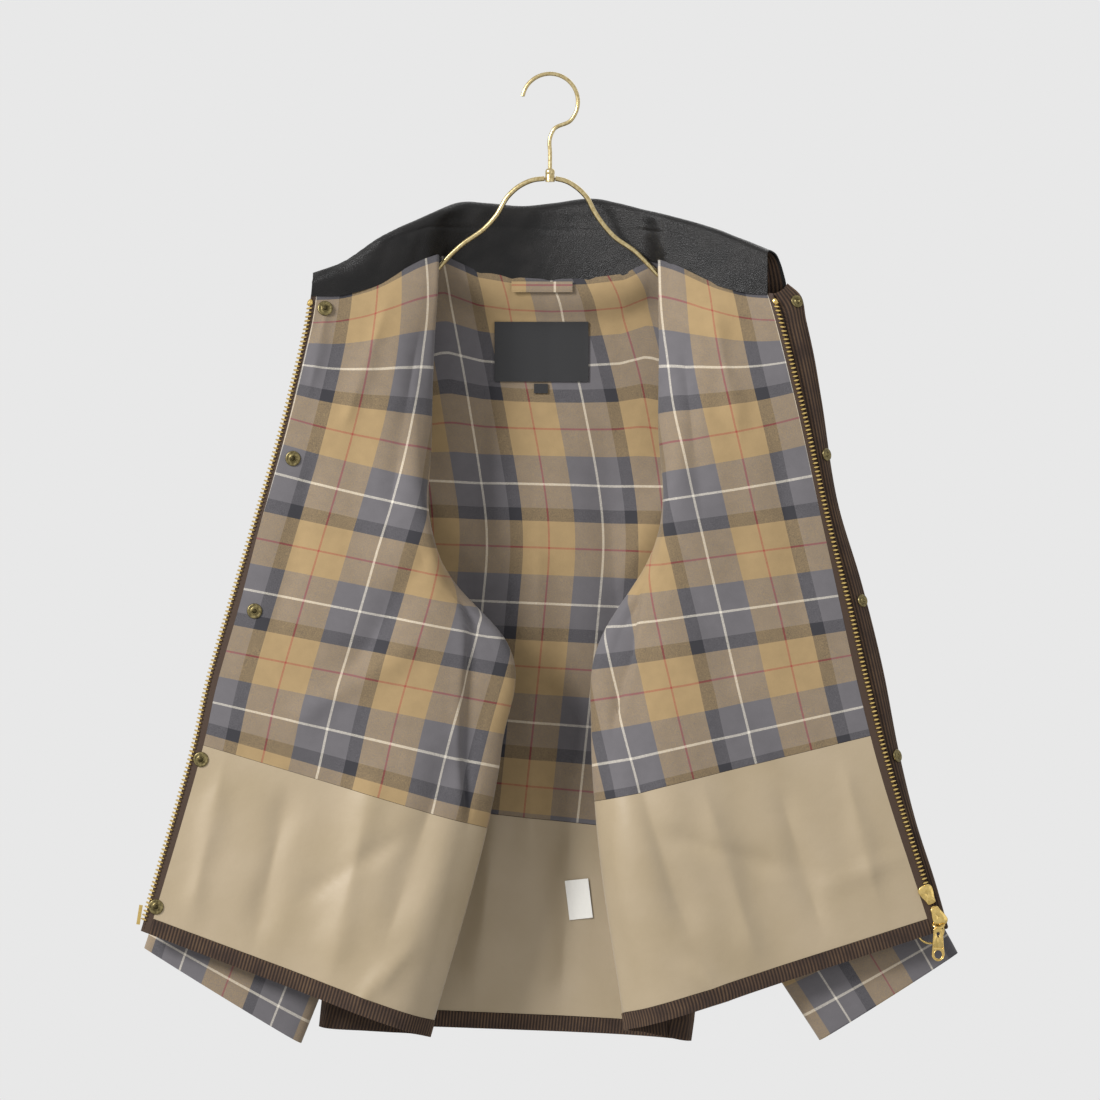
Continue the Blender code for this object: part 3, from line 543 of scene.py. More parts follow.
@dataclass(frozen=True)
class Woven:
    """Fine narrow weave, as of tape, thread or labels."""

    name: str
    body: str
    # The dark colour is painted shade in the grooves between the threads
    dark: str
    roughness: float = 0.7
    thread_mm: float = 0.8

    def make(self):
        """The material; its threads are drawn coarse enough to show as a fine rib."""
        cloth = Cloth(self.name, self.roughness)
        settings = {"bands_direction": "Z", "Scale": 312 / self.thread_mm, "Distortion": 1.5}
        wave = cloth.add("ShaderNodeTexWave", settings, {0: cloth.place}).outputs["Fac"]
        # The colour is darker where the rib's relief is low, which is painted shade between the threads
        stops = [(0.1, self.dark), (0.6, self.body)]
        colour = cloth.add("ShaderNodeValToRGB", {"stops": stops}, {0: wave})
        return cloth.finish(colour.outputs[0], wave, 0.3, 0.0003)


# ---------- surfaces ----------

def cubic(keys, values, at) -> np.ndarray:
    """Hermite cubics through the values at the keys, with slopes averaged from the neighbours."""
    keys, values, at = np.asarray(keys, float), np.asarray(values, float), np.asarray(at, float)
    slopes = np.gradient(values, keys, axis=0)
    index = np.clip(np.searchsorted(keys, at, side="right") - 1, 0, len(keys) - 2)
    width = keys[index + 1] - keys[index]
    t = ((at - keys[index]) / width)[:, None]
    width = width[:, None]
    start = values[index] * (2 * t**3 - 3 * t**2 + 1) + slopes[index] * width * (t**3 - 2 * t**2 + t)
    end = values[index + 1] * (3 * t**2 - 2 * t**3) + slopes[index + 1] * width * (t**3 - t**2)
    return start + end


def lengths(points: np.ndarray) -> np.ndarray:
    """Running length along a row of points."""
    return np.concatenate([[0.0], np.cumsum(np.linalg.norm(np.diff(points, axis=0), axis=1))])


def widths(grid: np.ndarray) -> np.ndarray:
    """Whole length of each row of a grid."""
    return np.array([lengths(row)[-1] for row in grid])


def sample(values: np.ndarray, run: np.ndarray, marks: np.ndarray) -> np.ndarray:
    """Values given at running lengths, read off at marks between them."""
    return np.stack([np.interp(marks, run, values[:, axis]) for axis in range(values.shape[1])], axis=1)


def resample(points: np.ndarray, marks: np.ndarray) -> np.ndarray:
    """Points at given lengths along a row of points."""
    return sample(points, lengths(points), marks)


def curve(points: np.ndarray, steps: int) -> np.ndarray:
    """A smooth line through a row of points."""
    run = lengths(points)
    return cubic(run, points, np.linspace(0, run[-1], steps))


def even_rows(sections: np.ndarray, steps: int, count: int) -> np.ndarray:
    """A grid of smooth lines through each section, with `count` points evenly apart on each."""
    lines = [curve(section, steps) for section in sections]
    return np.array([resample(line, np.linspace(0, lengths(line)[-1], count)) for line in lines])


def resample_rows(grid: np.ndarray, at: np.ndarray) -> np.ndarray:
    """A grid's rows at fractional row numbers, by linear steps."""
    base = np.clip(np.floor(at).astype(int), 0, grid.shape[0] - 2)
    share = (at - base)[:, None, None]
    return grid[base] * (1 - share) + grid[base + 1] * share


def patch(grids, down: np.ndarray, across: np.ndarray) -> list[np.ndarray]:
    """Several grids at the same fractional rows and columns."""
    rows = [resample_rows(grid, down) for grid in grids]
    return [resample_rows(grid.transpose(1, 0, 2), across).transpose(1, 0, 2) for grid in rows]


def unit(vectors: np.ndarray) -> np.ndarray:
    """Vectors brought to length one."""
    return vectors / np.linalg.norm(vectors, axis=-1, keepdims=True)


def cloth_uv(across: np.ndarray, down: np.ndarray) -> np.ndarray:
    """UV in metres from lengths in mm: across, for one row or for every row, and down."""
    return np.stack(np.broadcast_arrays(across, down[:, None]), axis=-1) * MM


def normals_of(grid: np.ndarray, side: float, closed: bool = False) -> np.ndarray:
    """Unit normals of a grid: down crossed with across, times `side`."""
    if closed:
        across = np.roll(grid, -1, axis=1) - np.roll(grid, 1, axis=1)
    else:
        across = np.gradient(grid, axis=1)
    normal = np.cross(np.gradient(grid, axis=0), across) * side
    return normal / (np.linalg.norm(normal, axis=2, keepdims=True) + 1e-12)


def creased(grid: np.ndarray, normal: np.ndarray, creases: list[Crease], last: int) -> np.ndarray:
    """Moves a grid along its normals by soft creases: bell curves about their lines, tapered at the ends.

    Args:
        grid: points in mm.
        normal: unit normals, towards which a positive depth rises.
        creases: the troughs and ridges.
        last: the last column that they reach, past which they fade.

    Returns:
        The moved grid.
    """
    total = np.zeros(grid.shape[:2])
    for crease in creases:
        start = np.array([crease.from_x, crease.from_z], float)
        along = np.array([crease.to_x, crease.to_z], float) - start
        reach = np.linalg.norm(along)
        along = along / reach
        off = grid[..., (0, 2)] - start
        t = off @ along / reach
        # The line wanders by up to 6 mm, so that no crease looks ruled
        away = np.abs(off[..., 0] * along[1] - off[..., 1] * along[0]) + 6 * np.sin(t * 5 + crease.width) ** 2
        taper = np.exp(-((np.clip(np.abs(t - 0.5) - 0.3, 0, None) / 0.16) ** 2))
        total += CREASE_DEPTH * crease.depth * taper * np.exp(-((away / (CREASE_WIDTH * crease.width)) ** 2))
    columns = np.arange(grid.shape[1])
    fade = np.clip((last - columns) / max(4.0, last * 0.12), 0, 1) * np.clip(columns / 8, 0, 1)
    return grid + normal * (total * fade[None])[..., None]


def stepped(grid: np.ndarray, normal: np.ndarray, line: list[tuple[float, float]], beyond: float,
            soft: bool = False) -> np.ndarray:
    """Moves the cloth beyond a line back, abruptly at the line and less and less further on.

    Args:
        grid: points in mm.
        normal: unit normals, away from which the step goes.
        line: the line as (x, z), from its top down.
        beyond: +1 if the second layer lies to the right of the line, or -1.
        soft: whether it is the outer cloth, which bends less sharply and a little deeper.

    Returns:
        The moved grid.
    """
    x, z = np.array(line, float).T
    off = (grid[..., 0] - np.interp(-grid[..., 2], -z, x)) * beyond
    past, before = np.clip(off, 0, None), np.clip(-off, 0, None)
    inside = np.clip((z[0] - grid[..., 2]) / 50, 0, 1) * np.clip((grid[..., 2] - z[-1]) / 60, 0, 1)
    if soft:
        shift = -SOFT_STEP * np.exp(-past / 18) * np.exp(-((before / 12) ** 2))
    else:
        rise = np.clip(off / STEP_WIDTH + 0.5, 0, 1)
        drop = rise * rise * (3 - 2 * rise) * np.exp(-past / 16)
        lip = 0.22 * np.exp(-((off + 4) / 7) ** 2)
        shift = LAYER_STEP * (lip - drop)
    facing = np.clip((grid.shape[1] * 0.6 - np.arange(grid.shape[1])) / 6, 0, 1)[None]
    return grid + normal * (inside * inside * facing * shift)[..., None]


# ---------- meshes ----------

def cells(rows: int, columns: int, wrap_rows: bool = False, wrap_columns: bool = False) -> np.ndarray:
    """Corner numbers of a grid's cells: here, below, below and beside, beside."""
    r, c = np.meshgrid(np.arange(rows if wrap_rows else rows - 1),
                       np.arange(columns if wrap_columns else columns - 1), indexing="ij")
    below, beside = (r + 1) % rows, (c + 1) % columns
    corners = [r * columns + c, below * columns + c, below * columns + beside, r * columns + beside]
    return np.stack(corners, axis=-1).reshape(-1, 4)


def wall_faces(rows: int, columns: int, closed: bool) -> np.ndarray:
    """Quads of a wall between two grids of one size: both faces and the rims."""
    count, last = rows * columns, columns if closed else columns - 1
    quads = cells(rows, columns, False, closed)
    faces = [quads, quads[:, ::-1] + count]
    edge, following = np.arange(last), (np.arange(last) + 1) % columns
    rims = [(edge, following), (following + (rows - 1) * columns, edge + (rows - 1) * columns)]
    if not closed:
        side = np.arange(rows - 1) * columns
        rims += [(side + columns, side), (side + columns - 1, side + 2 * columns - 1)]
    faces += [np.stack([s, e, e + count, s + count], axis=-1) for s, e in rims]
    return np.concatenate(faces)


def volume_of(points: np.ndarray, faces: np.ndarray) -> float:
    """Signed volume of a closed mesh of quads or triangles: the sum of tetrahedra to the origin."""
    fan = [(0, 1, 2)] if faces.shape[1] == 3 else [(0, 1, 2), (0, 2, 3)]
    total = 0.0
    for corners in fan:
        first, second, third = [points[faces[:, corner]] for corner in corners]
        total += float(np.einsum("ij,ij->", first, np.cross(second, third)))
    return total


def add_object(name: str, data):
    """Links a new object to the scene, at the origin."""
    made = bpy.data.objects.new(name, data)
    bpy.context.scene.collection.objects.link(made)
    return made


def add_mesh(name: str, points: np.ndarray, groups: list[np.ndarray], material, uv: np.ndarray | None = None):
    """A smooth closed mesh at the origin, its faces turned outward.

    Args:
        name: the piece's name.
        points: corners in mm.
        groups: arrays of quads and of triangles.
        material: its finish.
        uv: map coordinates of each corner, in metres.

    Returns:
        The object.
    """
    points = np.asarray(points, float) * MM
    if sum(volume_of(points, faces) for faces in groups) < 0:
        groups = [faces[:, ::-1] for faces in groups]
    mesh = bpy.data.meshes.new(name)
    mesh.from_pydata(points.tolist(), [], [face for faces in groups for face in faces.tolist()])
    if uv is not None:
        corners = np.concatenate([faces.reshape(-1) for faces in groups])
        maps = np.asarray(uv, np.float32)[corners].reshape(-1)
        mesh.uv_layers.new(name="cloth").data.foreach_set("uv", maps)
    mesh.materials.append(material)
    mesh.shade_smooth()
    mesh.set_sharp_from_angle(angle=math.radians(SHARP_DEG))
    LOG.info("%s: %d faces", name, len(mesh.polygons))
    return add_object(name, mesh)


@dataclass
class Layer:
    """One cloth layer on a mid-surface, between two distances along its normals."""

    name: str
    low: float
    high: float
    wales: Looks = Looks.PLAIN
    relief: float = WALE_RISE

    def build(self, grid: np.ndarray, normal: np.ndarray, uv: np.ndarray, material, closed: bool = False):
        """Makes the wall; with wales, one face follows a raised cosine of the first UV axis.

        Args:
            grid: mid-surface in mm.
            normal: unit normals.
            uv: cloth coordinates in metres.
            material: the finish.
            closed: whether the columns meet round a tube.

        Returns:
            The object.
        """
        near, far = np.full(grid.shape[:2], self.low), np.full(grid.shape[:2], self.high)
        if self.wales is not Looks.PLAIN:
            wave = (1 + np.cos(2 * math.pi * uv[..., 0] / (WALE_PITCH * MM))) / 2
            rise = self.relief * (wave**0.7 - 1)
            if self.wales is Looks.WALES and abs(self.high) > abs(self.low):
                far = far + rise
            else:
                near = near - rise
        points = np.concatenate([(grid + normal * away[..., None]).reshape(-1, 3) for away in (near, far)])
        faces = wall_faces(grid.shape[0], grid.shape[1], closed)
        return add_mesh(self.name, points, [faces], material, np.tile(uv.reshape(-1, 2), (2, 1)))


def dress(piece, slot: str, *nodes: str, body: str = "root"):
    """Rides a piece on a body and hides the nodes that it stands for."""
    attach(piece, body)
    if nodes:
        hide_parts(*nodes)
    return piece


def sew(layer: Layer, cloth: list[np.ndarray], material, slot: str, node: str,
        closed: bool = False) -> None:
    """Args:
        layer: the layer.
        cloth: its grid in mm, the unit normals and the UV.
        material: the finish.
        slot: not used.
        node: the node that it stands for.
        closed: whether the columns meet round a tube.
    """
    piece = dress(layer.build(*cloth, material, closed), slot, node)
    grid = np.concatenate([cloth[0], cloth[0][:, :1]], axis=1) if closed else cloth[0]
    length = float(widths(grid.transpose(1, 0, 2)).max()) * MM


# ---------- fronts ----------

def front_section(row: FrontRow, sign: float) -> np.ndarray:
    """Points of one row: zip, ridge of the fold, its tip, and the return to the side edge."""
    half, quarter = (row.zip_x + row.ridge_x) / 2, (row.zip_x * 3 + row.ridge_x) / 4
    reach = abs(row.zip_x - row.tip_x)
    depth = (row.back_y - row.ridge_y) / 2
    back_x = row.tip_x + sign * depth
    after_x = back_x + sign * (depth + 2)
    middle_x, near_x = (back_x + row.side_x) / 2, row.side_x - sign * 5
    mid_y = (row.zip_y + row.ridge_y) / 2

    def fall(x: float) -> float:
        """Height of the facing cloth at a place across."""
        return row.zip_z + (row.tip_z - row.zip_z) * abs(row.zip_x - x) / reach

    def side(x: float) -> float:
        """Height of the cloth behind the fold at a place across."""
        return row.tip_z + (row.side_z - row.tip_z) * (x - row.tip_x) / (row.side_x - row.tip_x)

    return np.array([
        (row.zip_x, row.zip_y, row.zip_z),
        (quarter, row.zip_y * 0.7 + row.ridge_y * 0.3 - 2, fall(quarter) + row.sag * 0.8),
        (half, mid_y - 3, fall(half) + row.sag),
        (row.ridge_x, row.ridge_y, fall(row.ridge_x)),
        (row.tip_x, (row.ridge_y + row.back_y) / 2, row.tip_z),
        (back_x, row.back_y, side(back_x)),
        (after_x, row.back_y, side(after_x)),
        (middle_x, row.back_y, side(middle_x)),
        (near_x, row.back_y * 0.75 + row.side_y * 0.25, side(near_x)),
        (row.side_x, row.side_y, row.side_z),
    ])


@dataclass
class Front:
    """One front: shell with wales, checked and nylon linings, hem facing, tape and teeth."""

    side: str
    table: list[FrontRow]
    creases: list[Crease]
    layer: list[tuple[float, float]]
    seam_down: float
    rows: int = 110
    columns: int = 220
    fine: int = 520
    tooth: tuple[float, float, float] = (1.1, 3.0, 1.9)

    def surface(self) -> None:
        """Works out the mid-surface: smooth sections, smoothly joined downward, then creased and stepped."""
        sign = 1.0 if self.table[0].zip_x > 0 else -1.0
        sections = np.array([front_section(row, sign) for row in self.table])
        self.downs = np.concatenate([np.linspace(0, 0.06, 9)[:-1], np.linspace(0.06, 1, self.rows - 8)])
        keyed = cubic([row.down for row in self.table], sections.reshape(len(self.table), -1), self.downs)
        self.plain = even_rows(keyed.reshape(self.rows, -1, 3), 400, self.columns)
        grid = creased(self.plain, normals_of(self.plain, -sign), self.creases, int(self.columns * 0.62))
        normal = normals_of(grid, -sign)
        self.outer = stepped(grid, normal, self.layer, -sign, soft=True)
        self.outer_normal = normals_of(self.outer, -sign)
        self.grid = stepped(grid, normal, self.layer, -sign)
        self.normal = normals_of(self.grid, -sign)
        across = widths(self.plain)[:, None] * np.linspace(0, 1, self.columns)
        self.uv = cloth_uv(across, lengths(self.plain[:, self.columns // 4]))

    def flap_guide(self, rows: int) -> list[np.ndarray]:
        """The zip edge and the flap's two seams, 0, 8 and 21 mm in, with their normals."""
        marks, places = np.array([0, 8, 21]), np.arange(self.columns)
        found = []
        for array in (self.grid, self.normal):
            lines = [sample(row, places, marks / width * (self.columns - 1))
                     for row, width in zip(array, widths(self.plain))]
            found.append(resample_rows(np.array(lines), np.linspace(0, self.rows - 1, rows)))
        return found

    def cut(self, top: float, bottom: float, inset: float, columns: int | None = None,
            rows: int | None = None, trim: int = 0, outer: bool = False) -> list[np.ndarray]:
        """A stretch of the surface, its normals and its UV.

        Args:
            top: its first row.
            bottom: its last row.
            inset: how far in from the zip edge it begins, in mm.
            columns: how many columns it gets, or as many as the surface has.
            rows: how many rows it gets, or about as many as it covers.
            trim: how many columns of the surface it stops short of the side edge.
            outer: whether it is cut from the outer cloth, with all of the rows by the shoulder.

        Returns:
            The three grids.
        """
        first = inset / lengths(self.plain[self.rows // 2])[-1] * (self.columns - 1)
        count = rows or max(3, int(math.ceil(bottom - top)) + 1)
        down = np.linspace(top, bottom, count)
        if outer:
            down = np.concatenate([np.arange(8), np.linspace(8, bottom, count - 8)])
        across = np.linspace(first, self.columns - 1 - trim, columns or self.columns)
        faces = (self.outer, self.outer_normal) if outer else (self.grid, self.normal)
        return patch((*faces, self.uv), down, across)

    def build(self, finish: dict) -> None:
        """Makes all of the front's cloth.

        Args:
            finish: materials by name.
        """
        self.surface()
        side, last, shell = self.side, self.rows - 1.0, f"shell_{self.side}_front"
        seam = float(np.interp(self.seam_down, self.downs, np.arange(self.rows)))
        run = lengths(self.grid[:, self.columns // 3])
        hem = float(np.interp(run[-1] - HEM_DEPTH, run, np.arange(self.rows)))
        layers = [
            (Layer(f"corduroy_front_{side}", -HALF_GAP - SHELL_WALL, -HALF_GAP, Looks.WALES), "corduroy",
             "corduroy", shell, HANGER_ARMS,
             self.cut(0, last, SHELL_INSET, columns=self.fine, rows=46, outer=True)),
            (Layer(f"check_lining_{side}_cloth", HALF_GAP, HALF_GAP + LINING_WALL), "check", "check_cotton",
             f"check_lining_{side}", [shell], self.cut(0, seam - SEAM_GAP, LINING_INSET, columns=200)),
            (Layer(f"nylon_lining_{side}_cloth", HALF_GAP, HALF_GAP + LINING_WALL), "nylon", "nylon_lining",
             f"nylon_lining_{side}", [shell],
             self.cut(seam + SEAM_GAP, hem - SEAM_GAP, LINING_INSET, columns=200)),
            (Layer(f"hem_facing_{side}", HALF_GAP, HALF_GAP + HEM_WALL, Looks.WALES), "corduroy", "corduroy",
             f"hem_{side}", [shell],
             self.cut(hem + SEAM_GAP, last, LINING_INSET, columns=self.fine, rows=7, trim=3)),
            (Layer(f"zip_tape_cloth_{side}", HALF_GAP, HALF_GAP + TAPE_WALL), "tape", "zip_tape",
             f"zip_tape_{side}", [shell], [array[:, :6] for array in self.cut(0, last, 0)]),
        ]
        for layer, look, slot, node, rests_on, cloth in layers:
            sew(layer, cloth, finish[look], slot, node)
        self.teeth(finish)

    def teeth(self, finish: dict) -> None:
        """Brass teeth along the zip edge: chamfered blocks, evenly apart."""
        edge = self.grid[:, 0]
        run = lengths(edge)
        marks = np.arange(9.0, run[-1] - 8.0, TOOTH_PITCH)
        lines = (edge, np.gradient(edge, axis=0), self.grid[:, 3] - edge, self.normal[:, 0])
        spot, *axes = [sample(line, run, marks) for line in lines]
        axes = [unit(axis) for axis in axes]
        blocks(f"zip_teeth_{self.side}", spot + axes[2] * TOOTH_LIFT, axes, self.tooth, finish["brass"],
               "zip_brass")


def blocks(name: str, spots: np.ndarray, axes: list[np.ndarray], half: tuple, material, slot: str):
    """Many small chamfered blocks as one mesh: an eight-sided outline at two heights and a smaller top.

    Args:
        name: the piece's name.
        spots: centres in mm.
        axes: three arrays of unit vectors: along, across and up.
        half: half sizes along the three axes.
        material: the finish.
        slot: not used.

    Returns:
        The object.
    """
    turn = np.linspace(0, 2 * math.pi, 8, endpoint=False) + math.pi / 8
    outline = np.stack([np.cos(turn), np.sin(turn)], axis=1)
    levels = [(-1.0, 1.0), (0.5, 1.0), (1.0, 0.72)]
    local = np.concatenate([np.column_stack([outline * size, np.full(8, level)]) for level, size in levels])
    local = local * np.array(half)
    points = spots[:, None] + sum(axes[i][:, None] * local[None, :, i, None] for i in range(3))
    ring, beside = np.arange(8), (np.arange(8) + 1) % 8
    quads = [np.stack([ring + k, beside + k, beside + k + 8, ring + k + 8], axis=1) for k in (0, 8)]
    caps = [[[7, 6, 5, 4], [7, 4, 3, 0], [3, 2, 1, 0]],
            [[16, 17, 18, 19], [16, 19, 20, 23], [20, 21, 22, 23]]]
    faces = np.concatenate(quads + [np.array(cap) for cap in caps])
    whole = (faces[None] + np.arange(len(spots))[:, None, None] * 24).reshape(-1, 4)
    return dress(add_mesh(name, points.reshape(-1, 3), [whole], material), slot)


# ---------- back ----------

@dataclass
class Back:
    """The back: one shell panel with wales, its linings and its hem facing."""

    seam_z: float = -692.0
    rows: int = 90
    columns: int = 170

    def surface(self) -> None:
        """Works out the mid-surface: straight rows between the side edges, under the neck and shoulders."""
        across = np.linspace(0, 1, self.columns)
        neck = np.array([(s.seam_x, 0, s.seam_z - 1.0) for s in COLLAR if -105 < s.seam_x < 104], float)
        tops = np.concatenate([[(-206, 1.1, -226), (-108, 1.7, -167)], neck,
                               [(101, 1.7, -172), (206, 1.1, -227)]])
        top_x = -206 + 412 * across
        top_z = np.interp(top_x, tops[:, 0], tops[:, 2])
        seam_y = np.interp(top_x, [s.seam_x for s in COLLAR], [max(s.seam_y, 1.7) for s in COLLAR])
        down = np.concatenate([np.linspace(0, 0.07, 9)[:-1], np.linspace(0.07, 1, self.rows - 8)])
        left, right = [
            cubic([row.down for row in table], [(row.side_x, -row.side_y, row.side_z) for row in table], down)
            for table in (LEFT_FRONT, RIGHT_FRONT)
        ]
        place = left[:, None] + (right - left)[:, None] * across[None, :, None]
        fade = np.clip(1 - down / 0.3, 0, None)[:, None] ** 1.5
        hollow = (1 - (2 * across - 1) ** 4)[None] * np.minimum(1.0, 0.25 + down * 12)[:, None]
        deep = place[..., 1] + (24 + 12 * down)[:, None] * hollow
        blend = np.minimum(1.0, down / 0.05)[:, None]
        lift = (seam_y - 1.7)[None] * blend * np.clip(1 - down * 2, 0, None)[:, None] * 0.3
        self.plain = np.stack([place[..., 0], seam_y[None] * (1 - blend) + deep * blend + lift,
                               place[..., 2] + (top_z + 226 + across)[None] * fade], axis=-1)
        self.grid = creased(self.plain, normals_of(self.plain, 1), BACK_CREASES, self.columns - 1)
        self.normal = normals_of(self.grid, 1)
        self.uv = cloth_uv(widths(self.plain)[:, None] * across, lengths(self.plain[:, self.columns // 2]))

    def build(self, finish: dict) -> None:
        """Makes the shell, the linings and the hem facing.

        Args:
            finish: materials by name.
        """
        self.surface()
        last, middle = self.rows - 1.0, self.columns // 2
        seam = float(np.interp(-self.seam_z, -self.plain[:, middle, 2], np.arange(self.rows)))
        run = lengths(self.plain[:, middle])
        hem = float(np.interp(run[-1] - HEM_DEPTH, run, np.arange(self.rows)))
        bands = [
            (Layer("corduroy_back", -HALF_GAP - SHELL_WALL, -HALF_GAP, Looks.WALES), "shell_back", "corduroy",
             "corduroy", (0, last), (42, 700)),
            (Layer("check_lining_back_cloth", HALF_GAP, HALF_GAP + LINING_WALL), "check_lining_back", "check",
             "check_cotton", (0, seam - SEAM_GAP), (80, 170)),
            (Layer("nylon_lining_back_cloth", HALF_GAP, HALF_GAP + LINING_WALL), "nylon_lining_back", "nylon",
             "nylon_lining", (seam + SEAM_GAP, hem - SEAM_GAP), (30, 170)),
            (Layer("hem_facing_back", HALF_GAP, HALF_GAP + HEM_WALL, Looks.WALES), "hem_back", "corduroy",
             "corduroy", (hem + SEAM_GAP, last), (7, 700)),
        ]
        for layer, node, look, slot, (top, bottom), (rows, columns) in bands:
            down, across = np.linspace(top, bottom, rows), np.linspace(0.3, self.columns - 1.3, columns)
            if node == "shell_back":
                down = np.concatenate([np.arange(9), np.linspace(9, bottom, rows - 9)])
            cloth = patch((self.grid, self.normal, self.uv), down, across)
            sew(layer, cloth, finish[look], slot, node)


# ---------- sleeves ----------

@dataclass
class Sleeve:
    """A flattened sleeve with its cuff turned back, lining outward."""

    side: str
    table: list[SleeveRing]
    rings: int = 38
    sides: int = 440
    cuff_rings: int = 200
    cuff_sides: int = 150
    cuff_share: float = 3.2 / 14

    @staticmethod
    def outward(grid: np.ndarray) -> np.ndarray:
        """Unit normals of a tube, away from its middle."""
        normal = normals_of(grid, 1, closed=True)
        return -normal if ((grid - grid.mean(axis=1, keepdims=True)) * normal).sum() < 0 else normal

    def surface(self, rings: int, sides: int) -> list[np.ndarray]:
        """Rings of the tube, creased across; returns the grid, its outward normals and its UV."""
        row = cubic(np.arange(len(self.table)), self.table, np.linspace(0, len(self.table) - 1, rings))
        turn = np.linspace(0, 2 * np.pi, sides, endpoint=False)
        wide, thick = np.cos(turn), np.sign(np.sin(turn)) * np.abs(np.sin(turn)) ** 0.8
        outer, inner = row[:, 0:2], row[:, 2:4]
        centre, reach = (outer + inner) / 2, (outer - inner) / 2
        flat = centre[:, None] + reach[:, None] * wide[None, :, None]
        depth = row[:, 4, None] + row[:, 5, None] * thick[None]
        grid = np.stack([flat[..., 0], depth, flat[..., 1]], axis=-1)
        down = np.linspace(0, 1, rings)[:, None]
        total = np.zeros((rings, sides))
        for place, angle, width, depth_mm in SLEEVE_CREASES:
            slant = place + 0.035 * np.cos(turn - angle)[None]
            near = np.exp(-(((down - slant) / (width / 700)) ** 2))
            total += depth_mm * near * (0.35 + 0.65 * np.cos((turn - angle) / 2)[None] ** 2)
        total *= np.clip(down * 8, 0, 1) * np.clip((1 - down) * 8, 0, 1) * 0.7
        grid = grid + self.outward(grid) * total[..., None]
        mean = np.linalg.norm(np.roll(grid, -1, axis=1) - grid, axis=2).mean(axis=0)
        around = np.concatenate([[0], np.cumsum(mean)[:-1]])
        # A whole number of wales goes round, so that none is cut where the tube closes
        around = around * (round(mean.sum() / WALE_PITCH) * WALE_PITCH / mean.sum())
        return [grid, self.outward(grid), cloth_uv(around, lengths(grid.mean(axis=1)))]

    def build(self, finish: dict) -> None:
        """Makes the sleeve and its cuff.

        Args:
            finish: materials by name.
        """
        side, node = self.side, f"sleeve_{self.side}"
        sew(Layer(f"corduroy_{node}", -1.0, 1.0, Looks.WALES), self.surface(self.rings, self.sides),
            finish["corduroy"], "corduroy", node, closed=True)
        start = round((self.cuff_rings - 1) * (1 - self.cuff_share))
        cloth = [array[start:] for array in self.surface(self.cuff_rings, self.cuff_sides)]
        sew(Layer(f"turned_cuff_{side}", 1.3, 2.7), cloth, finish["check"], "check_cotton", f"cuff_{side}",
            closed=True)


# ---------- collar and flap ----------

def neck_height(x: float, tops: list[np.ndarray]) -> float:
    """The highest edge of the panels under the collar at a place across."""
    heights = []
    for edge in tops:
        low, high = edge[:-1], edge[1:]
        spans = (np.minimum(low[:, 0], high[:, 0]) <= x) & (np.maximum(low[:, 0], high[:, 0]) >= x)
        low, high = low[spans], high[spans]
        share = (x - low[:, 0]) / (high[:, 0] - low[:, 0] + 1e-9)
        heights += list(low[:, 2] + (high[:, 2] - low[:, 2]) * share)
    return max(heights, default=-1e9)


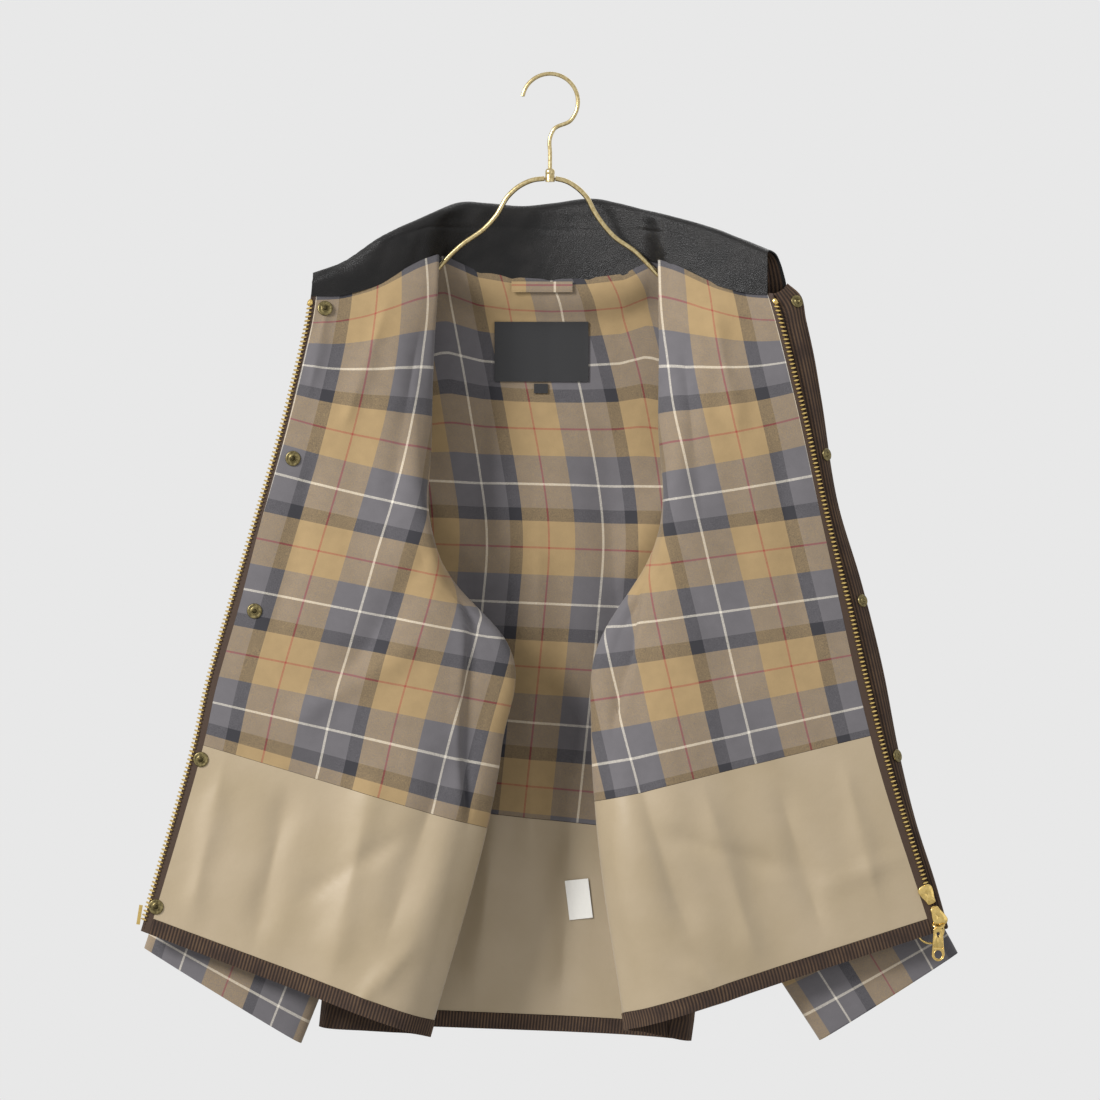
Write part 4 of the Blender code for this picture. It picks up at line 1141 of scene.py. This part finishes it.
@dataclass
class Collar:
    """Leather collar rolled over backward, its corduroy under-collar and the stitched seams."""

    columns: int = 190
    rows: int = 64
    under_wall: float = 1.4

    @staticmethod
    def facing(grid: np.ndarray) -> np.ndarray:
        """Unit normals that face the viewer along the neck seam."""
        normal = normals_of(grid, 1)
        return -normal if normal[0, :, 1].mean() > 0 else normal

    def surface(self, tops: list[np.ndarray]) -> np.ndarray:
        """The uncreased collar: from the neck seam up the stand, over the roll and down the fall behind."""
        keys = [station.seam_x for station in COLLAR]
        stations = cubic(keys, COLLAR, np.linspace(keys[0], keys[-1], self.columns))
        x, y, z, top_x, top_z, fall_x, fall_z, depth = stations.T
        height = np.array([neck_height(place, tops) for place in x])
        at_fold = np.exp(-(((np.abs(x) - FOLD_TOP) / 14) ** 2))
        z = np.where(height > -300, height - 1.3 + 0.6 * at_fold, z)
        rise, drop, out = top_z - z, top_z - fall_z, fall_x - top_x
        sections = np.array([
            (x, y, z), (x + (top_x - x) * 0.35, y - 1, z + rise * 0.35),
            (x + (top_x - x) * 0.7, y - 0.5, z + rise * 0.72), (top_x, y + 2, top_z - 2.5),
            (top_x + out * 0.1, y + depth * 0.48, top_z), (top_x + out * 0.4, y + depth * 0.81, top_z - 2.5),
            (top_x + out * 0.9, y + depth * 0.96, top_z - np.maximum(drop * 0.45, 4.5)),
            (fall_x, y + depth, fall_z),
        ])
        return even_rows(sections.transpose(2, 0, 1), 160, self.rows).transpose(1, 0, 2)

    def build(self, finish: dict, tops: list[np.ndarray]) -> None:
        """Makes the leather and the under-collar.

        Args:
            finish: materials by name.
            tops: top edges of the panels that it stands on.
        """
        plain = self.surface(tops)
        down, across = np.linspace(0, 1, self.rows)[:, None], plain[self.rows // 3, :, 0][None]
        wrinkle = np.zeros(plain.shape[:2])
        for place, lean, width, depth in COLLAR_CREASES:
            wrinkle += depth * np.exp(-(((across - place - lean * (down - 0.2)) / width) ** 2))
        wrinkle *= np.exp(-(((down - 0.26) / 0.2) ** 2))
        line = np.array(STAND_LINE, float)
        above = plain[..., 2] - np.interp(plain[..., 0], line[:, 0], line[:, 1])
        front = (np.arange(self.rows)[:, None] < np.argmax(plain[..., 2], axis=0)[None]) * 1.0
        seam = -0.75 * np.exp(-((above / 1.5) ** 2)) * front
        grid = plain + self.facing(plain) * (wrinkle + seam)[..., None]
        uv = cloth_uv(lengths(plain[self.rows // 2]), lengths(plain[:, self.columns // 2]))
        cloth = [grid, self.facing(grid), uv]
        sew(Layer("leather_collar", HALF_GAP, HALF_GAP + LEATHER_WALL), cloth, finish["leather"], "leather",
            "collar_leather")
        cloth = patch(cloth, np.linspace(0, self.rows - 3, 30), np.linspace(1, self.columns - 2, 180))
        sew(Layer("under_collar_corduroy", -HALF_GAP - self.under_wall, -HALF_GAP), cloth, finish["bumped"],
            "corduroy", "under_collar")


@dataclass
class Flap:
    """The storm flap behind the right zip, with wales along it."""

    rows: int = 150
    columns: int = 70

    def build(self, finish: dict, front: Front) -> None:
        """Makes the flap from the front's own edge, bent backward past the teeth.

        Args:
            finish: materials by name.
            front: the right front.
        """
        grid, normal = front.flap_guide(self.rows)
        edge = np.array(FLAP_EDGE, float)
        keys, run = lengths(edge), lengths(grid[:, 0])
        down = run / run[-1]
        outer = cubic(keys, edge, down * keys[-1])
        lift = (2.45 + FLAP_LIFT * np.clip((down - 0.82) / 0.1, 0, 1))[:, None]
        sewn, near = grid[:, 2] - normal[:, 2] * lift, grid[:, 1] - normal[:, 1] * lift
        teeth = grid[:, 0] - normal[:, 0] * (lift + 0.3)
        tip = np.stack([outer[:, 0], grid[:, 0, 1] + 12, outer[:, 1]], axis=1)
        middle = (teeth + tip) / 2 + np.array([3.0, -1.5, 0])
        self.grid = even_rows(np.stack([sewn, near, teeth, middle, tip], axis=1), 100, self.columns)
        lean = normals_of(self.grid, 1)
        self.lean = -lean if lean[:, :, 1].mean() < 0 else lean
        across = np.linspace(0, float(widths(self.grid).mean()), self.columns)
        cloth = [self.grid, self.lean, cloth_uv(across, lengths(self.grid[:, 0]))]
        layer = Layer("corduroy_storm_flap", 0.0, SHELL_WALL, Looks.NEAR_WALES, WALE_RISE * 0.6)
        sew(layer, cloth, finish["corduroy"], "corduroy", "storm_flap")


# ---------- small pieces ----------

def rings_about(along: np.ndarray, first: np.ndarray, sides: int) -> np.ndarray:
    """Unit circles square to each direction, each from where `first` points."""
    first = unit(first)
    turn = np.linspace(0, 2 * math.pi, sides, endpoint=False)[None, :, None]
    return first[:, None] * np.cos(turn) + np.cross(along, first)[:, None] * np.sin(turn)


def tube(name: str, path: np.ndarray, radius: float, sides: int, material, slot: str, *nodes: str,
         closed: bool = False, body: str = "root"):
    """A round wire along a path, with rounded ends where it is open.

    Args:
        name: the piece's name.
        path: points in mm.
        radius: half of its thickness.
        sides: corners round it.
        material: its finish.
        slot: not used.
        nodes: the nodes that it stands for.
        closed: whether the path meets itself.
        body: the body that it rides.

    Returns:
        The object.
    """
    path = np.asarray(path, float)
    if closed:
        along = unit(np.roll(path, -1, axis=0) - np.roll(path, 1, axis=0))
    else:
        along = unit(np.gradient(path, axis=0))
    first = np.cross(along, np.array([0.0, 1.0, 0.0]))
    flat = np.linalg.norm(first, axis=1) < 0.2
    first[flat] = np.cross(along[flat], np.array([1.0, 0.0, 0.0]))
    points = (path[:, None] + rings_about(along, first, sides) * radius).reshape(-1, 3)
    faces = [cells(len(path), sides, closed, True)]
    if not closed:
        ends = along[[0, -1]] * radius * np.array([[-0.4], [0.4]])
        points = np.concatenate([points, path[[0, -1]] + ends])
        ring, last, tip = np.arange(sides), (len(path) - 1) * sides, len(path) * sides
        beside = (ring + 1) % sides
        start = np.stack([ring, beside, np.full(sides, tip)], axis=1)
        end = np.stack([beside + last, ring + last, np.full(sides, tip + 1)], axis=1)
        faces.append(np.concatenate([start, end]))
    return dress(add_mesh(name, points, faces, material), slot, *nodes, body=body)


def lathe(name: str, bases: np.ndarray, leans: np.ndarray, profile, material, slot: str, *nodes: str):
    """Turned pieces, one on each base: a profile about its normal, closed at both ends.

    Args:
        name: the piece's name.
        bases: centres in mm.
        leans: unit normals.
        profile: heights and radii in mm, from the back round to the front.
        material: the finish.
        slot: not used.
        nodes: the nodes that they stand for.

    Returns:
        The object.
    """
    sides, count = 40, len(profile)
    upright = np.abs(leans[:, 2:]) > 0.9
    first = np.cross(leans, np.where(upright, np.array([1.0, 0.0, 0.0]), np.array([0.0, 0.0, 1.0])))
    height, radius = np.array(profile).T[..., None, None]
    rings = rings_about(leans, first, sides)[:, None]
    points = bases[:, None, None] + leans[:, None, None] * height + rings * radius
    quads = np.roll(cells(count, sides, False, True)[:, ::-1], 1, axis=1)
    fan, top = np.arange(1, sides - 1), (count - 1) * sides
    caps = np.concatenate([np.stack([np.zeros(sides - 2, int), fan + 1, fan], axis=1),
                           np.stack([np.full(sides - 2, top), fan + top, fan + top + 1], axis=1)])
    step = np.arange(len(bases))[:, None, None] * (count * sides)
    groups = [(quads[None] + step).reshape(-1, 4), (caps[None] + step).reshape(-1, 3)]
    return dress(add_mesh(name, points.reshape(-1, 3), groups, material), slot, *nodes)


def nearest(grid: np.ndarray, normal: np.ndarray, x: float, z: float, columns: int):
    """Point and normal of a panel's facing columns nearest to a place in the picture plane."""
    flat = grid[:, :columns]
    far = np.hypot(flat[..., 0] - x, flat[..., 2] - z)
    row, column = np.unravel_index(np.argmin(far), far.shape)
    return np.array([x, flat[row, column, 1], z]), normal[row, column]


@dataclass
class Fastenings:
    """Snaps on the left front and the storm flap, and the stops at the head of the zip's teeth."""

    snap_share: float = 0.84
    stop: tuple[float, float, float] = (3.4, 2.6, 1.9)
    profile: tuple = ((0.0, 6.9), (0.7, 7.0), (1.25, 6.6), (1.5, 5.9), (1.15, 5.1), (1.1, 3.6), (1.5, 3.1),
                      (1.95, 2.9), (2.05, 2.2), (1.3, 1.7), (0.9, 1.2))

    def build(self, finish: dict, left: Front, right: Front, flap: Flap) -> None:
        """Makes them all.

        Args:
            finish: materials by name.
            left: the left front, with the studs.
            right: the right front.
            flap: the storm flap, with the sockets.
        """
        found = [nearest(left.grid, left.normal, x, z, left.columns // 2) for x, z in STUDS]
        bases, leans = np.array([f[0] for f in found]), np.array([f[1] for f in found])
        lathe("snap_studs", bases + leans * 1.15, leans, self.profile, finish["antique"], "antique_brass",
              *[f"snap_stud_{index}" for index in range(1, 6)])
        # The posts are coloured dark as painted shade in the middle of each stud
        lathe("snap_stud_posts", bases + leans * 1.1, leans, [(0, 2.3), (2.6, 2.3), (3.1, 1.9), (3.3, 1.1)],
              finish["hole_shade_brass"], "antique_brass")
        column = int(flap.columns * self.snap_share)
        rows = [int(np.argmin(np.abs(flap.grid[:, column, 2] - z))) for _, z in SOCKETS]
        spots, leans = flap.grid[rows, column], -flap.lean[rows, column]
        profile = [(h, r * 0.86) for h, r in self.profile]
        lathe("snap_sockets", spots, leans, profile, finish["antique"], "antique_brass",
              *[f"snap_socket_{index}" for index in range(1, 5)])
        self.stops(finish, left, right)

    def stops(self, finish: dict, left: Front, right: Front) -> None:
        """Top stops on both tapes: short folded brass strips at the head of each row of teeth."""
        for front in (left, right):
            edge, lean = front.grid[2, 0], front.normal[2, 0]
            along = front.grid[3, 0] - front.grid[1, 0]
            axes = [unit(axis)[None] for axis in (along, front.grid[2, 3] - edge, lean)]
            blocks(f"top_stop_{front.side}", (edge + lean * TOOTH_LIFT)[None], axes, self.stop,
                   finish["brass"], "zip_brass")


@dataclass
class Hardware:
    """The zip's moving metal: bevelled slider plates, the lower bail, the pull tab and the ring pull."""

    bevel: float = 0.45
    bail_wire: float = 1.0
    ring_wire: float = 0.9
    rim_wire: float = 0.42
    plate: float = 2.6
    proud: float = 3.4
    upper_place: tuple[float, float] = (346, -757)
    lower_place: tuple[float, float] = (355.5, -776.3)
    pivot: tuple[float, float] = (355.0, -789.0)
    ring_pivot: tuple[float, float] = (349.0, -778.0)
    ring_radius: float = 12.0
    ring_y: float = -56.6
    tilt: float = math.radians(27)

    def slab(self, name: str, outline: np.ndarray, front: float, back: float, material, *nodes: str,
             hole: np.ndarray | None = None, body: str = "root"):
        """A flat plate with eased edges, facing the viewer.

        Args:
            name: the piece's name.
            outline: its corners in mm as (x, z), going round.
            front: depth of its front face.
            back: depth of its back face.
            material: its finish.
            nodes: the nodes that it stands for.
            hole: the edge of a hole through it, with as many points.
            body: the body that it rides.

        Returns:
            The object.
        """
        ease = self.bevel
        if hole is None:
            centre = outline.mean(axis=0)
            hole = centre + (outline - centre) * 0.02
        spokes = unit(hole - outline)
        rim = hole - spokes * ease * 0.5
        loops = [(outline + spokes * ease, front), (outline, front + ease), (outline, back - ease),
                 (outline + spokes * ease, back), (rim, back), (hole, back - ease * 0.5),
                 (hole, front + ease * 0.5), (rim, front)]
        points = np.stack([np.insert(shape, 1, depth, axis=1) for shape, depth in loops])
        faces = cells(*points.shape[:2], True, True)
        made = add_mesh(name, points.reshape(-1, 3), [faces], material)
        return dress(made, "zip_brass", *nodes, body=body)

    def turned(self, outline: list[tuple[float, float]], place: tuple[float, float]) -> np.ndarray:
        """An outline with its corners rounded, turned to the zip's slant and set at a place."""
        shape = self.loop(outline, 48)
        for _ in range(2):
            shape = (np.roll(shape, 1, axis=0) + 2 * shape + np.roll(shape, -1, axis=0)) / 4
        cos, sin = math.cos(self.tilt), math.sin(self.tilt)
        return shape @ np.array([[cos, sin], [-sin, cos]]) + np.array(place)

    def build(self, finish: dict) -> None:
        """Makes the sliders, the bail and both pulls; the pin and the hidden bail keep their own form."""
        brass, front = finish["brass"], RIGHT_FRONT[-1].zip_y - self.proud
        upper = self.turned(SHIELD, self.upper_place)
        lower = self.turned([(x, -z) for x, z in SHIELD][::-1], self.lower_place)
        self.slab("slider_upper", upper, front, front + self.plate, brass, "zip_slider_upper")
        self.slab("slider_lower", lower, front, front + self.plate, brass, "zip_slider_lower")
        turn = np.linspace(0, math.pi, 22)
        across, down = -5.2 * np.cos(turn), 5.6 - 3.4 * np.sin(turn)
        depth = front + 0.4 - 5.0 * np.sin(turn) ** 0.7
        bail = np.stack([self.pivot[0] + 0.6 + across, depth, self.pivot[1] + down], axis=1)
        tube("slider_bail", bail, self.bail_wire, 14, brass, "zip_brass", "lower_bail")
        self.tab(brass, front - 4.6)
        turn = np.linspace(0, 2 * math.pi, 96, endpoint=False)
        centre = (self.ring_pivot[0], self.ring_y, self.ring_pivot[1] - self.ring_radius)
        ring = np.stack([centre[0] + self.ring_radius * np.cos(turn), np.full(96, centre[1]),
                         centre[2] + self.ring_radius * np.sin(turn)], axis=1)
        tube("ring_of_wire", ring, self.ring_wire, 16, brass, "zip_brass", "ring_pull", closed=True,
             body="ring")
        for name in ("insertion_pin", "upper_bail"):
            node = bpy.data.objects[name]
            node.data.materials.clear()
            node.data.materials.append(brass)

    def tab(self, brass, depth: float) -> None:
        """Pull tab: a tapered plate with a drop-shaped slot, over an eyelet with a raised rim."""
        place, front, back = np.array(self.pivot), depth - 0.7, depth + 0.7
        plate = self.loop([(-3.4, 2.0), (3.4, 2.0), (4.3, 1.0), (5.3, -15.6), (-5.3, -15.6), (-4.3, 1.0)], 64)
        turn = np.linspace(0, math.pi, 17)
        foot = list(zip(6.0 * np.cos(turn), -22 - 6.0 * np.sin(turn)))
        eyelet = self.loop([(-5.3, -15.3), (5.3, -15.3), *foot], 64)
        slot = self.hole(plate, (0.0, -3.0), (1.5, 1.5), 2.0)
        eye = self.hole(eyelet, (0.0, -22.0), (3.4, 3.9), 0.0)
        self.slab("pull_plate", plate + place, front, back, brass, "pull_tab", hole=slot + place, body="tab")
        self.slab("pull_eyelet", eyelet + place, front, back, brass, hole=eye + place, body="tab")
        inner = [(x * 0.9, z + 0.3) for x, z in foot]
        shoulders = [(-4.8, -15.4), (-3.7, 0.6), (-2.8, 1.4)]
        whole = self.loop([(-2.8, 1.4), *[(-x, z) for x, z in shoulders[::-1]], *inner, *shoulders[:2]], 120)
        centre = np.array([0.0, -22.0])
        for name, shape in (("pull_rim", whole), ("pull_hole_rim", centre + (eye - centre) * 1.12)):
            path = np.insert(shape + place, 1, front, axis=1)
            tube(name, path, self.rim_wire, 10, brass, "zip_brass", closed=True, body="tab")

    @staticmethod
    def loop(corners: list[tuple[float, float]], count: int) -> np.ndarray:
        """Points evenly spaced round an outline."""
        shape = np.array(corners + corners[:1], float)
        return resample(shape, np.linspace(0, lengths(shape)[-1], count, endpoint=False))

    @staticmethod
    def hole(outline: np.ndarray, centre: tuple[float, float], half: tuple[float, float],
             drop: float) -> np.ndarray:
        """An oval hole's edge, one point for each of the outline's, drawn out downwards by `drop`."""
        angle = np.arctan2(outline[:, 1] - centre[1], outline[:, 0] - centre[0])
        stretch = half[1] + drop * np.clip(-np.sin(angle), 0, 1) ** 5
        return np.stack([centre[0] + half[0] * np.cos(angle), centre[1] + stretch * np.sin(angle)], axis=1)


@dataclass
class Trim:
    """Bare labels, hanging loop and lines of stitches."""

    pitch: float = 3.4
    lift: float = 1.15
    dash: tuple[float, float, float] = (1.3, 0.32, 0.3)

    def build(self, finish: dict, back: Back, fronts: tuple[Front, Front]) -> None:
        """Makes the labels and the stitches.

        Args:
            finish: materials by name.
            back: the back.
            fronts: both fronts.
        """
        for spec in LABELS:
            self.label(spec, back, finish[spec.look])
        for front in fronts:
            self.stitches(front, finish["thread"])

    @staticmethod
    def label(spec: Label, back: Back, material) -> None:
        """A thin woven rectangle that follows the back's lining, puckered where it is sewn."""
        count = 36
        u, v = np.meshgrid(np.linspace(0, 1, count), np.linspace(0, 1, count // 2))
        wide, tall = spec.right - spec.left, spec.bottom - spec.top
        middle = ((spec.left + spec.right) / 2, (spec.top + spec.bottom) / 2)
        dx, dz = spec.left + wide * u - middle[0], spec.top + tall * v - middle[1]
        turn = math.radians(spec.lean_deg)
        x = middle[0] + dx * math.cos(turn) - dz * math.sin(turn)
        z = middle[1] + dx * math.sin(turn) + dz * math.cos(turn)
        level = int(np.argmin(np.abs(back.grid[:, back.columns // 2, 2] - middle[1])))
        columns = np.interp(x, back.grid[level, :, 0], np.arange(back.columns))
        rows = np.interp(-z, -back.grid[:, int(columns.mean()), 2], np.arange(back.rows))
        row, column = rows.astype(int).clip(0, back.rows - 2), columns.astype(int).clip(0, back.columns - 2)
        down, across = rows - row, columns - column
        y = back.grid[..., 1]
        upper, lower = [y[at, column] * (1 - across) + y[at, column + 1] * across for at in (row, row + 1)]
        pucker = 0.35 * np.sin(u * 17) * np.exp(-((np.minimum(v, 1 - v) / 0.08) ** 2))
        grid = np.stack([x, upper * (1 - down) + lower * down - pucker * 0.3, z], axis=-1)
        lean = np.zeros_like(grid)
        lean[..., 1] = -1
        layer = Layer(spec.name, spec.low, spec.low + spec.wall)
        made = dress(layer.build(grid, lean, np.stack([x, z], axis=-1) * MM, material), spec.slot, spec.node)

    def stitches(self, front: Front, material) -> None:
        """A line of thread dashes down the tape."""
        line, lean = front.grid[:, 1], front.normal[:, 1]
        run = lengths(line)
        marks = np.arange(3, run[-1] - 3, self.pitch)
        spot, lean, along = [sample(array, run, marks) for array in (line, lean, np.gradient(line, axis=0))]
        along, lean = unit(along), unit(lean)
        axes = [along, np.cross(along, lean), lean]
        blocks(f"tape_stitches_{front.side}", spot + lean * self.lift, axes, self.dash, material, "corduroy")


@dataclass
class Hanger:
    """Bent champagne-gold wire: hook, ferrule and two arms."""

    hook_wire: float = 3.8
    hook_radius: float = 26.0
    arm_wire: float = 4.7
    arm_start: tuple[float, float] = (5.2, -95.5)
    ferrule: tuple = ((0, 2.6), (0.2, 3.2), (1.6, 4.2), (2.2, 4.4), (5.0, 4.4), (5.4, 4.15), (5.9, 4.4),
                      (12.2, 4.4))

    def build(self, finish: dict) -> None:
        """Makes the three wires and the ferrule.

        Args:
            finish: materials by name.
        """
        wire, ring = finish["wire"], self.hook_radius
        turn = np.radians(np.linspace(168, -52, 60))
        height = self.hook_wire / 2 - ring + ring * np.sin(turn)
        arc = np.stack([ring * np.cos(turn), 0 * turn, height], axis=1)
        tail = np.array([(3.5, 0, -50), (0, 0, -58), (0, 0, -72), (0, 0, -86.1)], float)
        path = curve(np.concatenate([arc[::4], tail]), 140)
        tube("wire_hook", path, self.hook_wire / 2, 24, wire, "hanger_wire", "hanger_hook")
        lathe("wire_ferrule", np.array([(0.0, 0.0, -86.4)]), np.array([(0.0, 0.0, -1.0)]),
              self.ferrule, wire, "hanger_wire", "hanger_ferrule")
        across, height = self.arm_start
        for side, start, route in (("left", -across, ARM_LEFT), ("right", across, ARM_RIGHT)):
            points = np.array([(start, 0, height)] + [(x, 0, z) for x, z in route[1:]], float)
            tube(f"wire_arm_{side}", curve(points, 160), self.arm_wire / 2, 20, wire, "hanger_wire",
                 f"hanger_arm_{side}")


# ---------- studio ----------

@dataclass(frozen=True)
class Studio:
    """Pale room: floor, soft lights and the camera of the photo."""

    distance: float = 4.2
    width: float = 1.023
    centre_z: float = -0.441
    floor_z: float = -1.25
    reach: float = 2.0
    cloud_mm: float = 670.0

    def build(self) -> None:
        """Makes the floor, the lights and the camera."""
        plaster = Cloth("pale_plaster", 0.9)
        cloud = plaster.add("ShaderNodeTexNoise", {"Scale": 1000 / self.cloud_mm}, {0: plaster.place})
        stops = [(0.3, "aeaeae"), (0.7, "b3b3b3")]
        colour = plaster.add("ShaderNodeValToRGB", {"stops": stops}, {0: cloud})
        material = plaster.finish(colour.outputs[0], cloud, 0.05, 0.001)
        mesh = bpy.data.meshes.new("studio_floor")
        signs = ((-1, -1), (1, -1), (1, 1), (-1, 1))
        corners = [(x * self.reach, y * self.reach, self.floor_z) for x, y in signs]
        mesh.from_pydata(corners, [], [(0, 1, 2, 3)])
        mesh.materials.append(material)
        add_object("studio_floor", mesh)
        world = bpy.data.worlds.new("soft_room")
        world.use_nodes = True
        sky = world.node_tree.nodes["Background"]
        sky.inputs["Color"].default_value = linear("e8e8e8")
        sky.inputs["Strength"].default_value = 1.0
        bpy.context.scene.view_settings.view_transform = "Standard"
        bpy.context.scene.world = world
        for name, place, size, power in (("key_softbox", (-2.5, -2.2, 1.25), 1.0, 165.0),
                                         ("fill_softbox", (2.4, -2.6, -0.2), 2.2, 8.0),
                                         ("rear_softbox", (0.6, 2.8, 1.2), 2.0, 20.0)):
            light = bpy.data.lights.new(name, "AREA")
            light.size = size
            light.energy = power
            made = add_object(name, light)
            made.location = place
            aim = Vector((0, 0, self.centre_z)) - Vector(place)
            made.rotation_euler = aim.to_track_quat("-Z", "Y").to_euler()
        camera = bpy.data.cameras.new("camera")
        camera.sensor_width = 36.0
        camera.lens = 36.0 * self.distance / self.width
        made = add_object("camera", camera)
        made.location = (0, -self.distance, self.centre_z)
        made.rotation_euler = (math.pi / 2, 0, 0)
        bpy.context.scene.camera = made


def finishes() -> dict:
    """All materials by name."""
    return {
        "corduroy": Corduroy().make(),
        "bumped": Corduroy().make("cotton_corduroy_under_collar", bumped=True),
        "check": CheckCotton().make(),
        "nylon": Nylon().make(),
        "leather": Leather().make(),
        "wire": Metal("champagne_plated_steel", "cdbd92", "b09c6c", 0.3).make(),
        "antique": Metal("antique_brass", "8b7f58", "5b5238", 0.36).make(),
        # Dark brass for the snap posts, painted dark as painted shade in the middle of each stud
        "hole_shade_brass": Metal("brass_painted_hole_shade", "4a422c", "2e291b", 0.5).make(),
        "brass": Metal("polished_zip_brass", "dcc07c", "cdb06a", 0.24).make(),
        "tape": Woven("polyester_zip_tape", "3f2a18", "26180d").make(),
        "label": Woven("damask_label", "1b1b1d", "0e0e10", 0.6).make(),
        "care": Woven("printed_satin_label", "e8e6e0", "cfccc4", 0.55).make(),
        "thread": Woven("polyester_thread", "4a3624", "2f2115", 0.6).make(),
    }


def main() -> None:
    """Builds the looks in order: cloth, collar, fastenings, trim, hanger and room."""
    logging.basicConfig(level=logging.INFO, format="%(message)s")
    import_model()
    finish = finishes()
    left = Front("left", LEFT_FRONT, LEFT_CREASES, LEFT_LAYER, LEFT_SEAM)
    right = Front("right", RIGHT_FRONT, RIGHT_CREASES, RIGHT_LAYER, RIGHT_SEAM)
    for front in (left, right):
        front.build(finish)
    back = Back()
    back.build(finish)
    for side, table in (("left", LEFT_SLEEVE), ("right", RIGHT_SLEEVE)):
        Sleeve(side, table).build(finish)
    Collar().build(finish, [left.plain[0], right.plain[0], back.plain[0]])
    flap = Flap()
    flap.build(finish, right)
    Fastenings().build(finish, left, right, flap)
    Hardware().build(finish)
    Trim().build(finish, back, (left, right))
    Hanger().build(finish)
    Studio().build()


if __name__ == "__main__":
    main()
